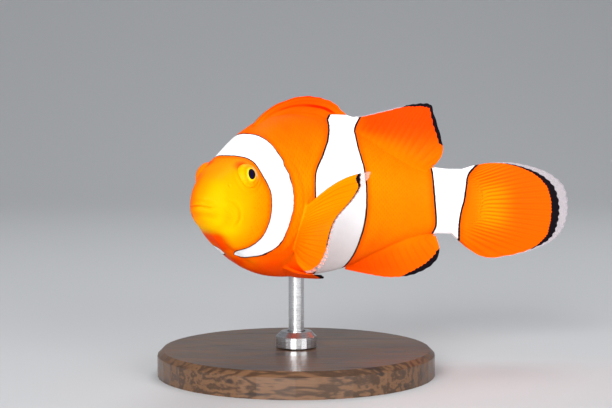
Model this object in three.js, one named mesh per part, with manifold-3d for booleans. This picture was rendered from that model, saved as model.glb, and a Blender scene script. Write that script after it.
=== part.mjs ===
// A clown anemonefish, life size, as a still museum model on a plain display stand.
// Millimetres, +Z up. The head points to -X and turns towards -Y, the side it shows; the tail
// trails to +X. The origin is the centre of the underside of the stand's base.
//
// The fish is first thought of as straight. A place on it is (along, out, up) in standard
// lengths: along runs from the lips to the tail, out is to the fish's left, up is from the
// level of the mouth. bend() then curves the spine and gives millimetres.

import * as THREE from 'three';
import { mergeVertices } from 'three/addons/utils/BufferGeometryUtils.js';
import Module from 'manifold-3d';

const wasm = await Module();
wasm.setup();

// ---- driving dimensions ------------------------------------------------------------------

const standardLength = 70; // lips to the root of the tail fin
const gap = 0.3; // clearance between touching pieces
const gapShare = gap / standardLength;

const headTurn = THREE.MathUtils.degToRad(62.5); // the head's turn towards the viewer
const tailTurn = THREE.MathUtils.degToRad(12); // what is left of the turn at the tail root
const finTurn = THREE.MathUtils.degToRad(8); // and at the tail fin's edge
const bendStart = 0.22; // the spine is straight ahead of here
const bendEase = 1.6; // how early the bend comes
const restAt = 0.45; // the place along the fish that stands over the rod
const roll = THREE.MathUtils.degToRad(-1);
const pitch = THREE.MathUtils.degToRad(1.8); // the head is a little up

const snoutRound = 0.055; // length over which the lips round off
const gillEdge = 0.312; // rear edge of the gill cover at mid height
const gillLean = 0.05; // how much further forward that edge is at the nape and throat
const trunkEnd = 0.64;
const stalkEnd = 0.985;

// Each eye is a ball flattened along its line of sight, a direction in (along, out, up).
const eye = { along: 0.132, out: 0.0646, up: 0.0777, radius: 2.35, depth: 1.4 };
const gaze = [-0.25, 0.89, 0.37];
const orbit = { along: 0.122, up: 0.086, rise: 0.012, length: 0.042, height: 0.036 }; // its swelling

// The lower jaw lies below the mouth and ahead of a line that curves down from its corner.
const jaw = { front: -0.05, level: -0.002, corner: 0.034, hinge: [0.06, -0.03], throat: [0.1, -0.16] };
const jawOut = 0.15; // beyond the widest place of the jaw
// A gill cover is the outer flesh of an oval on the side of the head, beyond inner out of it.
const gillCover = { along: 0.287, up: -0.005, length: 0.082, height: 0.13, inner: 0.062, outer: 0.16 };

const base = { radius: 27, height: 5, bevel: 1 };
const rod = { radius: 1.5, socket: 4, collarRadius: 4, collarHeight: 3 };
const bellyClearance = 14; // from the base up to the belly

// Loft stations: along, back, belly, half width, level of the widest place.
const stations = [
  [0.0, 0.04, -0.04, 0.036, 0.0],
  [0.06, 0.078, -0.064, 0.058, 0.002],
  [0.12, 0.113, -0.106, 0.078, 0.008],
  [0.18, 0.149, -0.139, 0.092, 0.012],
  [0.26, 0.204, -0.175, 0.104, 0.012],
  [0.34, 0.24, -0.197, 0.106, 0.012],
  [0.44, 0.25, -0.204, 0.1, 0.014],
  [0.55, 0.235, -0.197, 0.088, 0.016],
  [0.63, 0.211, -0.18, 0.076, 0.017],
  [0.72, 0.173, -0.143, 0.061, 0.017],
  [0.82, 0.127, -0.104, 0.045, 0.014],
  [0.91, 0.106, -0.086, 0.032, 0.012],
  [1.0, 0.106, -0.09, 0.014, 0.01],
  [1.08, 0.11, -0.09, 0.006, 0.01],
];

// ---- the body's shape --------------------------------------------------------------------

const { clamp, lerp, smoothstep } = THREE.MathUtils;

// A smooth curve through rows [x, ...values]: the value in a column at x.
function smooth(rows, column, x) {
  let i = 0;
  while (i < rows.length - 2 && rows[i + 1][0] < x) i += 1;
  const slope = (k) => {
    const before = rows[Math.max(k - 1, 0)];
    const after = rows[Math.min(k + 1, rows.length - 1)];
    return (after[column] - before[column]) / (after[0] - before[0]);
  };
  const step = rows[i + 1][0] - rows[i][0];
  const t = clamp((x - rows[i][0]) / step, 0, 1);
  const rise = t * t * (3 - 2 * t);
  return (
    lerp(rows[i][column], rows[i + 1][column], rise) +
    step * (slope(i) * t * (1 - t) ** 2 - slope(i + 1) * t * t * (1 - t))
  );
}

// Back, belly, half width and widest level at a place along the body.
function profile(along) {
  const q = clamp(along / snoutRound, 0, 1);
  const round = Math.sqrt(q * (2 - q));
  const [back, belly, halfWidth, widest] = [1, 2, 3, 4].map((k) => smooth(stations, k, along) * round);
  return { back, belly, halfWidth, widest };
}

// A place on the body. turn is 0 on the left flank and a quarter turn on the back; grow is a
// layer added all round, and reach 0 is the middle of the body and 1 its surface.
function bodyPlace(along, turn, grow = 0, reach = 1) {
  const { back, belly, halfWidth, widest } = profile(along);
  const across = Math.cos(turn);
  const rising = Math.sin(turn);
  const aft = smoothstep(along, 0.12, 0.38);
  const squareness = rising > 0 ? 0.62 + 0.63 * aft : 0.88 + 0.14 * aft;
  const height = rising > 0 ? back - widest : widest - belly;
  const up = widest + (height + grow) * rising * reach;
  const side = Math.sign(across) * Math.abs(across) ** squareness;
  const swell =
    orbit.rise *
    Math.exp(-(((along - orbit.along) / orbit.length) ** 2) - ((up - orbit.up) / orbit.height) ** 2);
  return [along, (halfWidth + swell + grow) * side * reach, up];
}

// ---- the bend of the spine ---------------------------------------------------------------

const spineSteps = 600;
const spineFrom = -0.1;
const spineTo = 1.5;

function turnAt(along) {
  const q = clamp((along - bendStart) / (1 - bendStart), 0, 1);
  const bent = lerp(headTurn, tailTurn, 1 - (1 - q) ** bendEase);
  return along > 1 ? bent + (finTurn - tailTurn) * clamp((along - 1) / 0.3, 0, 1) : bent;
}

const spine = [[0, 0]];
for (let i = 1; i <= spineSteps; i += 1) {
  const step = (spineTo - spineFrom) / spineSteps;
  const turn = turnAt(spineFrom + (i - 0.5) * step);
  const [x, y] = spine[i - 1];
  spine.push([x + step * Math.cos(turn), y + step * Math.sin(turn)]);
}

function spineAt(along) {
  const at = clamp(((along - spineFrom) / (spineTo - spineFrom)) * spineSteps, 0, spineSteps - 1e-6);
  const i = Math.floor(at);
  return [0, 1].map((k) => lerp(spine[i][k], spine[i + 1][k], at - i));
}

const spineRest = spineAt(restAt);

// (along, out, up) in standard lengths to millimetres in the fish's own frame.
function bend([along, out, up]) {
  const turn = turnAt(along);
  const [x, y] = spineAt(along);
  return new THREE.Vector3(
    x - spineRest[0] + out * Math.sin(turn),
    y - spineRest[1] - out * Math.cos(turn),
    up,
  ).multiplyScalar(standardLength);
}

// ---- making solids -----------------------------------------------------------------------

// Moves each vertex of a closed three.js geometry to move(vertex), faces kept outwards.
function reshaped(geometry, move) {
  geometry.deleteAttribute('normal');
  geometry.deleteAttribute('uv');
  const position = geometry.attributes.position;
  const vertex = new THREE.Vector3();
  for (let i = 0; i < position.count; i += 1) {
    vertex.fromBufferAttribute(position, i);
    const moved = move(vertex);
    position.setXYZ(i, moved.x, moved.y, moved.z);
  }
  const merged = mergeVertices(geometry, 1e-3);
  if (volume(merged) < 0) {
    const index = merged.index.array;
    for (let i = 0; i < index.length; i += 3) {
      [index[i], index[i + 1]] = [index[i + 1], index[i]];
    }
  }
  return merged;
}

function volume(geometry) {
  const [a, b, c] = [new THREE.Vector3(), new THREE.Vector3(), new THREE.Vector3()];
  const { position } = geometry.attributes;
  const index = geometry.index.array;
  let sum = 0;
  for (let i = 0; i < index.length; i += 3) {
    a.fromBufferAttribute(position, index[i]);
    b.fromBufferAttribute(position, index[i + 1]);
    c.fromBufferAttribute(position, index[i + 2]);
    sum += a.dot(b.cross(c)) / 6;
  }
  return sum;
}

function solidOf(geometry) {
  const bare = geometry.clone();
  bare.deleteAttribute('normal');
  bare.deleteAttribute('uv');
  const merged = mergeVertices(bare, 1e-3);
  return new wasm.Manifold(
    new wasm.Mesh({
      numProp: 3,
      vertProperties: merged.attributes.position.array,
      triVerts: Uint32Array.from(merged.index.array),
    }),
  );
}

function geometryOf(solid) {
  const mesh = solid.getMesh();
  const geometry = new THREE.BufferGeometry();
  geometry.setAttribute('position', new THREE.BufferAttribute(mesh.vertProperties, 3));
  geometry.setIndex(new THREE.BufferAttribute(mesh.triVerts, 1));
  return geometry;
}

const cut = (geometry, ...cutters) =>
  geometryOf(cutters.reduce((left, cutter) => left.subtract(solidOf(cutter)), solidOf(geometry)));

const common = (geometry, other) => geometryOf(solidOf(geometry).intersect(solidOf(other)));

// A length of the body between two ends, each a function of the turn round it.
function bodyLength(from, to, around, rings, ease = 1, grow = 0) {
  return reshaped(new THREE.CylinderGeometry(1, 1, 1, around, rings), (vertex) => {
    const turn = Math.atan2(vertex.z, vertex.x);
    const along = lerp(from(turn), to(turn), (vertex.y + 0.5) ** ease);
    const reach = Math.min(1, Math.hypot(vertex.x, vertex.z));
    return bend(bodyPlace(along, turn, grow, reach));
  });
}

// A block over an outline in (along, up), from one distance out of the midline to another.
function block(outline, outFrom, outTo) {
  const slab = new THREE.ExtrudeGeometry(outline, {
    depth: outTo - outFrom,
    bevelEnabled: false,
    curveSegments: 10,
  });
  return reshaped(slab, (vertex) => bend([vertex.x, outFrom + vertex.z, vertex.y]));
}

// A fin: rays is its cells from the first ray to the last, cells those from root to edge.
// place(ray, reach) gives the middle of the fin and thickness(reach) its thickness.
function fin(rays, cells, place, thickness) {
  const small = 1e-3;
  return reshaped(new THREE.BoxGeometry(1, 1, 1, rays, cells, 1), (vertex) => {
    const ray = vertex.x + 0.5;
    const reach = vertex.y + 0.5;
    const middle = bend(place(ray, reach));
    const before = Math.max(ray - small, 0);
    const alongFin = bend(place(before + small, reach)).sub(bend(place(before, reach)));
    const inner = Math.max(reach - small, 0);
    const outward = bend(place(ray, inner + small)).sub(bend(place(ray, inner)));
    const normal = alongFin.cross(outward).normalize();
    return middle.addScaledVector(normal, Math.sign(vertex.z) * 0.5 * thickness(reach));
  });
}

// ---- the head ----------------------------------------------------------------------------

const gillLine = (turn) => gillEdge - gillLean * Math.sin(turn) ** 2;

function makeHead() {
  const lips = () => 0.0004;
  const whole = bodyLength(lips, gillLine, 38, 14, 1.5);
  const sides = [1, -1];

  const jawOutline = (grow) => {
    const level = jaw.level + grow;
    const outline = new THREE.Shape();
    outline.moveTo(jaw.front, level);
    outline.lineTo(jaw.corner + grow, level);
    outline.quadraticCurveTo(jaw.hinge[0] + grow, jaw.hinge[1] + grow, jaw.throat[0] + grow, jaw.throat[1]);
    outline.lineTo(jaw.front, jaw.throat[1]);
    return block(outline, -jawOut, jawOut);
  };
  const coverOutline = (side, grow) => {
    const outline = new THREE.Shape();
    const { along, up, length, height, inner, outer } = gillCover;
    outline.absellipse(along, up, length + grow, height + grow, 0, 2 * Math.PI);
    return side > 0 ? block(outline, inner - grow, outer) : block(outline, -outer, grow - inner);
  };
  const eyeball = (side, grow) => {
    const place = [eye.along, side * eye.out, eye.up];
    const ahead = [place[0] + gaze[0], place[1] + side * gaze[1], place[2] + gaze[2]];
    const centre = bend(place);
    const sight = bend(ahead).sub(centre).normalize();
    const ball = new THREE.SphereGeometry(1, 20, 12);
    ball.scale(eye.radius + grow, eye.depth + grow, eye.radius + grow);
    ball.applyQuaternion(new THREE.Quaternion().setFromUnitVectors(new THREE.Vector3(0, 1, 0), sight));
    return ball.translate(centre.x, centre.y, centre.z);
  };

  const cutters = sides.flatMap((side) => [coverOutline(side, gapShare), eyeball(side, gap)]);
  const [left, right] = sides.map((side) => common(whole, coverOutline(side, 0)));
  return {
    head: cut(whole, jawOutline(gapShare), ...cutters),
    lower_jaw: common(whole, jawOutline(0)),
    gill_cover_left: left,
    gill_cover_right: right,
    eye_left: eyeball(1, 0),
    eye_right: eyeball(-1, 0),
  };
}

// ---- the fins ----------------------------------------------------------------------------

// Each row of a fin's edge: ray (0 first to 1 last), then the place of the ray's tip.
const dorsalEdge = [
  [0, 0.265, 0.214],
  [0.06, 0.315, 0.246],
  [0.12, 0.372, 0.273],
  [0.24, 0.468, 0.297],
  [0.4, 0.562, 0.285],
  [0.5, 0.612, 0.25],
  [0.57, 0.648, 0.246],
  [0.68, 0.745, 0.269],
  [0.76, 0.81, 0.286],
  [0.85, 0.874, 0.29],
  [0.875, 0.884, 0.268],
  [0.94, 0.914, 0.186],
  [0.97, 0.918, 0.148],
  [1, 0.9, 0.118],
];
const analEdge = [
  [0, 0.628, -0.19],
  [0.2, 0.7, -0.204],
  [0.4, 0.765, -0.213],
  [0.6, 0.828, -0.209],
  [0.72, 0.866, -0.196],
  [0.82, 0.895, -0.178],
  [0.9, 0.913, -0.155],
  [0.95, 0.917, -0.13],
  [1, 0.905, -0.092],
];
const dorsalRoot = { from: 0.262, to: 0.865 };
const analRoot = { from: 0.615, to: 0.865 };
const dorsalNotch = 0.56; // the ray where the spines end and the soft rays start

const taper = (root, edge) => (reach) => lerp(root, edge, Math.min(1, reach * 1.6));

// A fin on the back or belly, from one ray to another: side is 1 above and -1 below.
function ridgeFin(root, edge, side, fromRay, toRay, rays) {
  return fin(
    rays,
    6,
    (share, reach) => {
      const ray = lerp(fromRay, toRay, share);
      const rootAlong = lerp(root.from, root.to, ray);
      const { back, belly } = profile(rootAlong);
      const rootUp = (side > 0 ? back : belly) + side * gapShare;
      const tip = [smooth(edge, 1, ray), smooth(edge, 2, ray)];
      return [lerp(rootAlong, tip[0], reach), 0, lerp(rootUp, tip[1], reach)];
    },
    taper(1.6, 0.6),
  );
}

const tailEdge = [
  [0, 1.012, 0.116],
  [0.06, 1.05, 0.123],
  [0.13, 1.086, 0.127],
  [0.2, 1.13, 0.128],
  [0.28, 1.19, 0.119],
  [0.36, 1.248, 0.1],
  [0.44, 1.29, 0.068],
  [0.5, 1.304, 0.034],
  [0.56, 1.308, -0.004],
  [0.63, 1.302, -0.042],
  [0.7, 1.287, -0.076],
  [0.77, 1.258, -0.104],
  [0.84, 1.212, -0.126],
  [0.9, 1.16, -0.143],
  [0.95, 1.105, -0.153],
  [1, 1.055, -0.154],
];
const tailRoot = { top: 0.1, bottom: -0.084 };

function tailFin() {
  return fin(
    22,
    8,
    (ray, reach) => {
      const tip = [smooth(tailEdge, 1, ray), smooth(tailEdge, 2, ray)];
      const rootUp = lerp(tailRoot.top, tailRoot.bottom, ray);
      return [lerp(stalkEnd + gapShare, tip[0], reach), 0, lerp(rootUp, tip[1], reach)];
    },
    taper(2.2, 0.6),
  );
}

// A paired fin is a fan of rays from a short root line. Each row: ray, the root's along and up,
// the ray's run along, out and up from root to tip, and the bow of its middle along and up.
const pectoralSpread = [
  [0, 0.386, -0.023, 0.068, 0.215, 0.121, 0, 0.027],
  [0.08, 0.382, -0.031, 0.061, 0.212, 0.113, 0, 0.02],
  [0.2, 0.381, -0.043, -0.004, 0.207, 0.087, 0, 0.01],
  [0.35, 0.381, -0.058, -0.054, 0.198, 0.07, 0, 0.002],
  [0.5, 0.382, -0.072, -0.098, 0.192, 0.051, 0, 0],
  [0.65, 0.384, -0.085, -0.118, 0.187, 0.027, -0.002, 0],
  [0.8, 0.386, -0.096, -0.115, 0.176, -0.009, -0.008, 0],
  [0.9, 0.388, -0.104, -0.105, 0.161, -0.039, -0.013, -0.002],
  [0.96, 0.389, -0.109, -0.083, 0.125, -0.059, -0.016, -0.004],
  [1, 0.39, -0.112, -0.079, 0.094, -0.064, -0.018, -0.006],
];
const pectoralFolded = [
  [0, 0.386, -0.023, 0.197, 0.072, 0.093, 0, 0.02],
  [0.25, 0.382, -0.046, 0.223, 0.077, 0.049, 0, 0.01],
  [0.5, 0.382, -0.072, 0.203, 0.075, 0.01, 0, 0],
  [0.75, 0.385, -0.092, 0.15, 0.072, -0.031, 0, 0],
  [1, 0.39, -0.112, 0.055, 0.05, -0.063, 0, -0.008],
];
const pelvicFan = [
  [0, 0.35, -0.178, 0.115, 0.06, -0.022, 0, -0.004],
  [0.35, 0.36, -0.184, 0.135, 0.038, -0.026, 0, 0],
  [0.7, 0.37, -0.19, 0.12, 0.014, -0.02, 0, 0],
  [1, 0.38, -0.195, 0.08, 0.004, -0.014, 0, 0],
];

function pairedFin(fan, side, rays, rootOut) {
  const clearance = bodyLength(() => 0.25, () => 0.75, 40, 12, 1, gapShare);
  const blade = fin(
    rays,
    6,
    (ray, reach) => {
      const row = [1, 2, 3, 4, 5, 6, 7].map((column) => smooth(fan, column, ray));
      const [rootAlong, rootUp, runAlong, runOut, runUp, bowAlong, bowUp] = row;
      const bow = Math.sin(Math.PI * reach);
      return [
        rootAlong + runAlong * reach + bowAlong * bow,
        side * (rootOut(rootAlong, rootUp) + runOut * reach),
        rootUp + runUp * reach + bowUp * bow,
      ];
    },
    taper(1.5, 0.6),
  );
  return cut(blade, clearance);
}

// How far out the flank is at a place: the root of a pectoral fin starts just under it.
function flankOut(along, up) {
  const { back, belly, halfWidth, widest } = profile(along);
  const rise = (up - widest) / (up > widest ? back - widest : widest - belly);
  return halfWidth * Math.sqrt(1 - rise * rise) - 0.01;
}
const keelOut = () => 0.04;

// ---- the stand ---------------------------------------------------------------------------

const fishHeight = base.height + bellyClearance - profile(restAt).belly * standardLength;

function disc(radius, height, bevel) {
  const outline = [
    [0, 0],
    [radius, 0],
    [radius, height - bevel],
    [radius - bevel, height],
    [0, height],
  ].map(([x, y]) => new THREE.Vector2(x, y));
  return new THREE.LatheGeometry(outline, 48).rotateX(Math.PI / 2);
}

const rodTop = base.height + bellyClearance + rod.socket;

function rodPiece(grow, from) {
  const bar = new THREE.CylinderGeometry(rod.radius + grow, rod.radius + grow, rodTop + grow - from, 20);
  return bar.rotateX(Math.PI / 2).translate(0, 0, (rodTop + grow + from) / 2);
}

// ---- putting it together -----------------------------------------------------------------

const colours = {
  flesh: { color: 0xff8400, roughness: 0.55, metalness: 0 },
  face: { color: 0xffae10, roughness: 0.5, metalness: 0 },
  fin: { color: 0xff7300, roughness: 0.5, metalness: 0 },
  eye: { color: 0x140a06, roughness: 0.1, metalness: 0 },
  wood: { color: 0x5b3a22, roughness: 0.45, metalness: 0 },
  steel: { color: 0xb9bcc0, roughness: 0.3, metalness: 1 },
};

function add(group, name, geometry, look) {
  geometry.computeVertexNormals();
  const mesh = new THREE.Mesh(geometry, new THREE.MeshStandardMaterial(colours[look]));
  mesh.name = name;
  group.add(mesh);
}

const fish = new THREE.Group();
fish.position.z = fishHeight;
fish.rotation.set(roll, pitch, 0, 'YXZ');
fish.updateMatrix();
const toFish = fish.matrix.clone().invert();

const headLooks = { gill_cover_left: 'flesh', gill_cover_right: 'flesh', eye_left: 'eye', eye_right: 'eye' };
for (const [name, geometry] of Object.entries(makeHead())) {
  add(fish, name, geometry, headLooks[name] ?? 'face');
}

const behindGill = (turn) => gillLine(turn) + gapShare;
const trunk = bodyLength(behindGill, () => trunkEnd, 38, 11);
add(fish, 'trunk', cut(trunk, rodPiece(gap, base.height).applyMatrix4(toFish)), 'flesh');
add(fish, 'tail_stalk', bodyLength(() => trunkEnd + gapShare, () => stalkEnd, 32, 9), 'flesh');

const notchGap = 0.01;
add(fish, 'dorsal_fin_spiny', ridgeFin(dorsalRoot, dorsalEdge, 1, 0, dorsalNotch - notchGap, 14), 'fin');
add(fish, 'dorsal_fin_soft', ridgeFin(dorsalRoot, dorsalEdge, 1, dorsalNotch, 1, 14), 'fin');
add(fish, 'anal_fin', ridgeFin(analRoot, analEdge, -1, 0, 1, 14), 'fin');
add(fish, 'tail_fin', tailFin(), 'fin');
add(fish, 'pectoral_fin_left', pairedFin(pectoralSpread, 1, 14, flankOut), 'fin');
add(fish, 'pectoral_fin_right', pairedFin(pectoralFolded, -1, 14, flankOut), 'fin');
add(fish, 'pelvic_fin_left', pairedFin(pelvicFan, 1, 7, keelOut), 'fin');
add(fish, 'pelvic_fin_right', pairedFin(pelvicFan, -1, 7, keelOut), 'fin');

const clownfish = new THREE.Group();
clownfish.add(fish);
const seat = { from: base.height - 3 };
const baseDisc = disc(base.radius, base.height, base.bevel);
const hole = new THREE.CylinderGeometry(rod.radius + gap, rod.radius + gap, 10, 20).rotateX(Math.PI / 2);
add(clownfish, 'stand_base', cut(baseDisc, hole.translate(0, 0, seat.from - gap + 5)), 'wood');
add(clownfish, 'stand_rod', rodPiece(0, seat.from), 'steel');
const collarOutline = [
  [rod.radius + gap, 0],
  [rod.collarRadius, 0],
  [rod.collarRadius, rod.collarHeight - 1],
  [rod.collarRadius - 1, rod.collarHeight],
  [rod.radius + gap, rod.collarHeight],
  [rod.radius + gap, 0],
].map(([x, y]) => new THREE.Vector2(x, y));
const collar = new THREE.LatheGeometry(collarOutline, 24).rotateX(Math.PI / 2);
add(clownfish, 'stand_collar', collar.translate(0, 0, base.height + gap), 'steel');

export default clownfish;
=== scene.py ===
"""A clown anemonefish, life size, on its display stand: the looks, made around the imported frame.

A place on the fish is first thought of as if the fish were straight: (along, out, up) in
standard lengths. Along runs from the lips to the tail, out is to the fish's left, and up is from
the level of the mouth. to_frame() then bends the spine and gives metres in the frame.
"""

import math

import bmesh
import bpy
import numpy as np
from bpy.props import FloatProperty, FloatVectorProperty, IntProperty, PointerProperty
from mathutils import Matrix, Vector


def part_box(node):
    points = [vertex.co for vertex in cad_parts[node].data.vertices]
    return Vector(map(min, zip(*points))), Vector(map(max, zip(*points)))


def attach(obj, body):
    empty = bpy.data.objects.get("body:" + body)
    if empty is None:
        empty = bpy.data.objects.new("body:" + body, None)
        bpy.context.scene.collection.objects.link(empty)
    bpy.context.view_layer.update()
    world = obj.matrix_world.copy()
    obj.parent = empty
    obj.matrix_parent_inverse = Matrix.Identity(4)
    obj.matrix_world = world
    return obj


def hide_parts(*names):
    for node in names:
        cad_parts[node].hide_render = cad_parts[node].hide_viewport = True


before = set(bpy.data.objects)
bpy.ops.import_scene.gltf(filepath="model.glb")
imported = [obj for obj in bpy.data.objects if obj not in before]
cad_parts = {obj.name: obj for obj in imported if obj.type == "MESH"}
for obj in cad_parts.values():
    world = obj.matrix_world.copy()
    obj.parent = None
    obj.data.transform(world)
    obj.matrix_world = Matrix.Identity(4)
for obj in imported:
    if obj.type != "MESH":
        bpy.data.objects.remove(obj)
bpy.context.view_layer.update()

bl_info = {
    "name": "Clown Anemonefish Model",
    "version": (1, 0, 0),
    "blender": (4, 5, 0),
    "location": "View3D > Sidebar > Clownfish",
    "description": "Skins, scales and stages a life-size clown anemonefish on its stand",
    "category": "Object",
}

BODY = "root"
FLESH = [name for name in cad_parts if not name.startswith(("eye_", "stand_"))]

# ---- the fish's shape ----------------------------------------------------------------------

# How far the spine is turned in plan, at the head, at the end of the stalk and in the tail fin.
HEAD_TURN = math.radians(62.5)
TAIL_TURN = math.radians(12)
FIN_TURN = math.radians(8)
BEND_START = 0.22
BEND_EASE = 1.6  # over 1, so that most of the bend is near the head
FIN_LENGTH = 0.3  # over which the tail fin turns
REST_AT = 0.45  # the place along the fish that stands over the rod
ROLL = math.radians(-1)
PITCH = math.radians(1.8)

SNOUT_ROUND = 0.055
TAIL_END = 1.055  # where the flesh ends, inside the tail fin
TAIL_ROUND = 0.05
# The power that rounds a section: at the head, and what the body behind the head adds to it.
BACK_POWER = (0.62, 0.63)
BELLY_POWER = (0.88, 0.14)
HEAD_TO_BODY = (0.12, 0.38)  # along, over which the section changes
ORBIT = dict(along=0.122, up=0.086, rise=0.012, length=0.042, height=0.036)
EYE = np.array((0.132, 0.0646, 0.0777))  # the middle of the eyeball
GAZE = np.array((-0.25, 0.89, 0.37)) / np.linalg.norm((-0.25, 0.89, 0.37))

# Along, back, belly, half width, level of the widest place.
STATIONS = np.array([
    (0.0, 0.04, -0.04, 0.036, 0.0),
    (0.06, 0.078, -0.064, 0.058, 0.002),
    (0.12, 0.113, -0.106, 0.078, 0.008),
    (0.18, 0.149, -0.139, 0.092, 0.012),
    (0.26, 0.204, -0.175, 0.104, 0.012),
    (0.34, 0.24, -0.197, 0.106, 0.012),
    (0.44, 0.25, -0.204, 0.1, 0.014),
    (0.55, 0.235, -0.197, 0.088, 0.016),
    (0.63, 0.211, -0.18, 0.076, 0.017),
    (0.72, 0.173, -0.143, 0.061, 0.017),
    (0.82, 0.127, -0.104, 0.045, 0.014),
    (0.91, 0.106, -0.086, 0.032, 0.012),
    (1.0, 0.106, -0.09, 0.014, 0.01),
    (1.08, 0.11, -0.09, 0.006, 0.01),
])


def smoothstep(x, low, high):
    t = np.clip((np.asarray(x, float) - low) / (high - low), 0, 1)
    return t * t * (3 - 2 * t)


def bump(x, middle, width):
    """1 at the middle, falling to 0 on both sides."""
    return np.exp(-(((x - middle) / width) ** 2))


def smooth(rows, x):
    """A smooth curve through rows of (x, values...): the values at each x."""
    rows = np.asarray(rows, float)
    knots, values = rows[:, 0], rows[:, 1:]
    before = np.maximum(np.arange(len(rows)) - 1, 0)
    after = np.minimum(np.arange(len(rows)) + 1, len(rows) - 1)
    slopes = (values[after] - values[before]) / (knots[after] - knots[before])[:, None]
    x = np.asarray(x, float)
    i = np.clip(np.searchsorted(knots, x) - 1, 0, len(rows) - 2)
    step = (knots[i + 1] - knots[i])[..., None]
    t = np.clip((x - knots[i])[..., None] / step, 0, 1)
    rise = t * t * (3 - 2 * t)
    curve = slopes[i] * t * (1 - t) ** 2 - slopes[i + 1] * t * t * (1 - t)
    return values[i] + (values[i + 1] - values[i]) * rise + step * curve


def profile(along):
    """Back, belly, half width and level of the widest place."""
    q = np.clip(np.asarray(along, float) / SNOUT_ROUND, 0, 1)
    r = np.clip((TAIL_END - along) / TAIL_ROUND, 0, 1)
    ends = np.sqrt(q * (2 - q)) * np.sqrt(r * (2 - r))
    values = smooth(STATIONS, along) * ends[..., None]
    return values[..., 0], values[..., 1], values[..., 2], values[..., 3]


def body_place(along, turn):
    """A place on the body: turn is 0 on the left flank and a quarter turn on the back."""
    back, belly, half_width, widest = profile(along)
    across, rising = np.cos(turn), np.sin(turn)
    aft = smoothstep(along, *HEAD_TO_BODY)
    power = np.where(rising > 0, BACK_POWER[0] + BACK_POWER[1] * aft, BELLY_POWER[0] + BELLY_POWER[1] * aft)
    up = widest + np.where(rising > 0, back - widest, widest - belly) * rising
    side = np.sign(across) * np.abs(across) ** power
    swell = ORBIT["rise"] * bump(along, ORBIT["along"], ORBIT["length"]) * bump(
        up, ORBIT["up"], ORBIT["height"])
    return np.stack([along, (half_width + swell * np.minimum(1, along / 0.04)) * side, up], -1)


def spine_turn(along):
    """The direction of the spine in plan, from head to tail, in radians from the frame's x axis."""
    q = np.clip((along - BEND_START) / (1 - BEND_START), 0, 1)
    bent = HEAD_TURN + (TAIL_TURN - HEAD_TURN) * (1 - (1 - q) ** BEND_EASE)
    return bent + (FIN_TURN - TAIL_TURN) * np.clip((along - 1) / FIN_LENGTH, 0, 1)


SPINE_ALONG = np.linspace(-0.1, 1.5, 1601)
_step = SPINE_ALONG[1] - SPINE_ALONG[0]
_turns = spine_turn(SPINE_ALONG[:-1] + _step / 2)
SPINE_X = np.concatenate([[0], np.cumsum(np.cos(_turns))]) * _step
SPINE_Y = np.concatenate([[0], np.cumsum(np.sin(_turns))]) * _step
SPINE_X -= np.interp(REST_AT, SPINE_ALONG, SPINE_X)
SPINE_Y -= np.interp(REST_AT, SPINE_ALONG, SPINE_Y)


def bend(place):
    """(along, out, up) to the curved fish, still in standard lengths."""
    along, out, up = place[..., 0], place[..., 1], place[..., 2]
    turn = spine_turn(along)
    x = np.interp(along, SPINE_ALONG, SPINE_X) + out * np.sin(turn)
    y = np.interp(along, SPINE_ALONG, SPINE_Y) - out * np.cos(turn)
    return np.stack([x, y, up], -1)


def middle_of(node):
    low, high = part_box(node)
    return (np.array(low) + np.array(high)) / 2


# The eyes of the frame give the fish's size and place.
EYE_LEFT, EYE_RIGHT = middle_of("eye_left"), middle_of("eye_right")
LENGTH = float(np.linalg.norm(EYE_LEFT - EYE_RIGHT) / (2 * EYE[1]))  # the standard length, metres
TILT = np.array(Matrix.Rotation(PITCH, 3, "Y") @ Matrix.Rotation(ROLL, 3, "X"))
PLACE = (EYE_LEFT + EYE_RIGHT) / 2 - LENGTH * bend(EYE * (1, 0, 1)) @ TILT.T
MM = 0.001 / LENGTH  # a millimetre in standard lengths


def to_frame(place):
    """(along, out, up) to metres in the frame."""
    return LENGTH * bend(place) @ TILT.T + PLACE


# ---- the relief of the skin ----------------------------------------------------------------

EYE_RADIUS = 2.35  # across the line of sight, millimetres
EYE_DEPTH = 1.4  # and along it
EYE_SHOWN = 2.1  # radius of the round opening of the socket, millimetres
MOUTH_HALF = 0.036
CHEEK = (0.05, -0.03)  # along and up: the middle of the round folds behind the mouth's corner
CHEEK_RIDGE, CHEEK_CREASE = 2.65, 3.43  # their radii, millimetres
NOSTRIL = (0.066, 0.055)
GILL_COVER = dict(along=0.287, up=-0.005, length=0.082, height=0.13)
CHEEK_BONE = dict(along=0.145, up=-0.01, length=0.066, height=0.112)
GILL_SLIT = 0.016  # how far out the slit under the throat starts


def parts(place):
    """Along, how far out on either side, and up."""
    return place[..., 0], np.abs(place[..., 1]), place[..., 2]


def scaled_share(along, up):
    """How fully scaled the skin is: not at all on the snout, fully from the nape and cheeks."""
    return smoothstep(along + 0.25 * np.maximum(up - 0.03, 0), 0.125, 0.215)


def eye_distance(place):
    """How far a place is from the line of the eye's gaze, and how far out along it."""
    mirrored = place * (1, 0, 1) + np.abs(place) * (0, 1, 0)
    away = mirrored - EYE
    depth = away @ GAZE
    return np.linalg.norm(away - depth[..., None] * GAZE, axis=-1), depth


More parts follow.
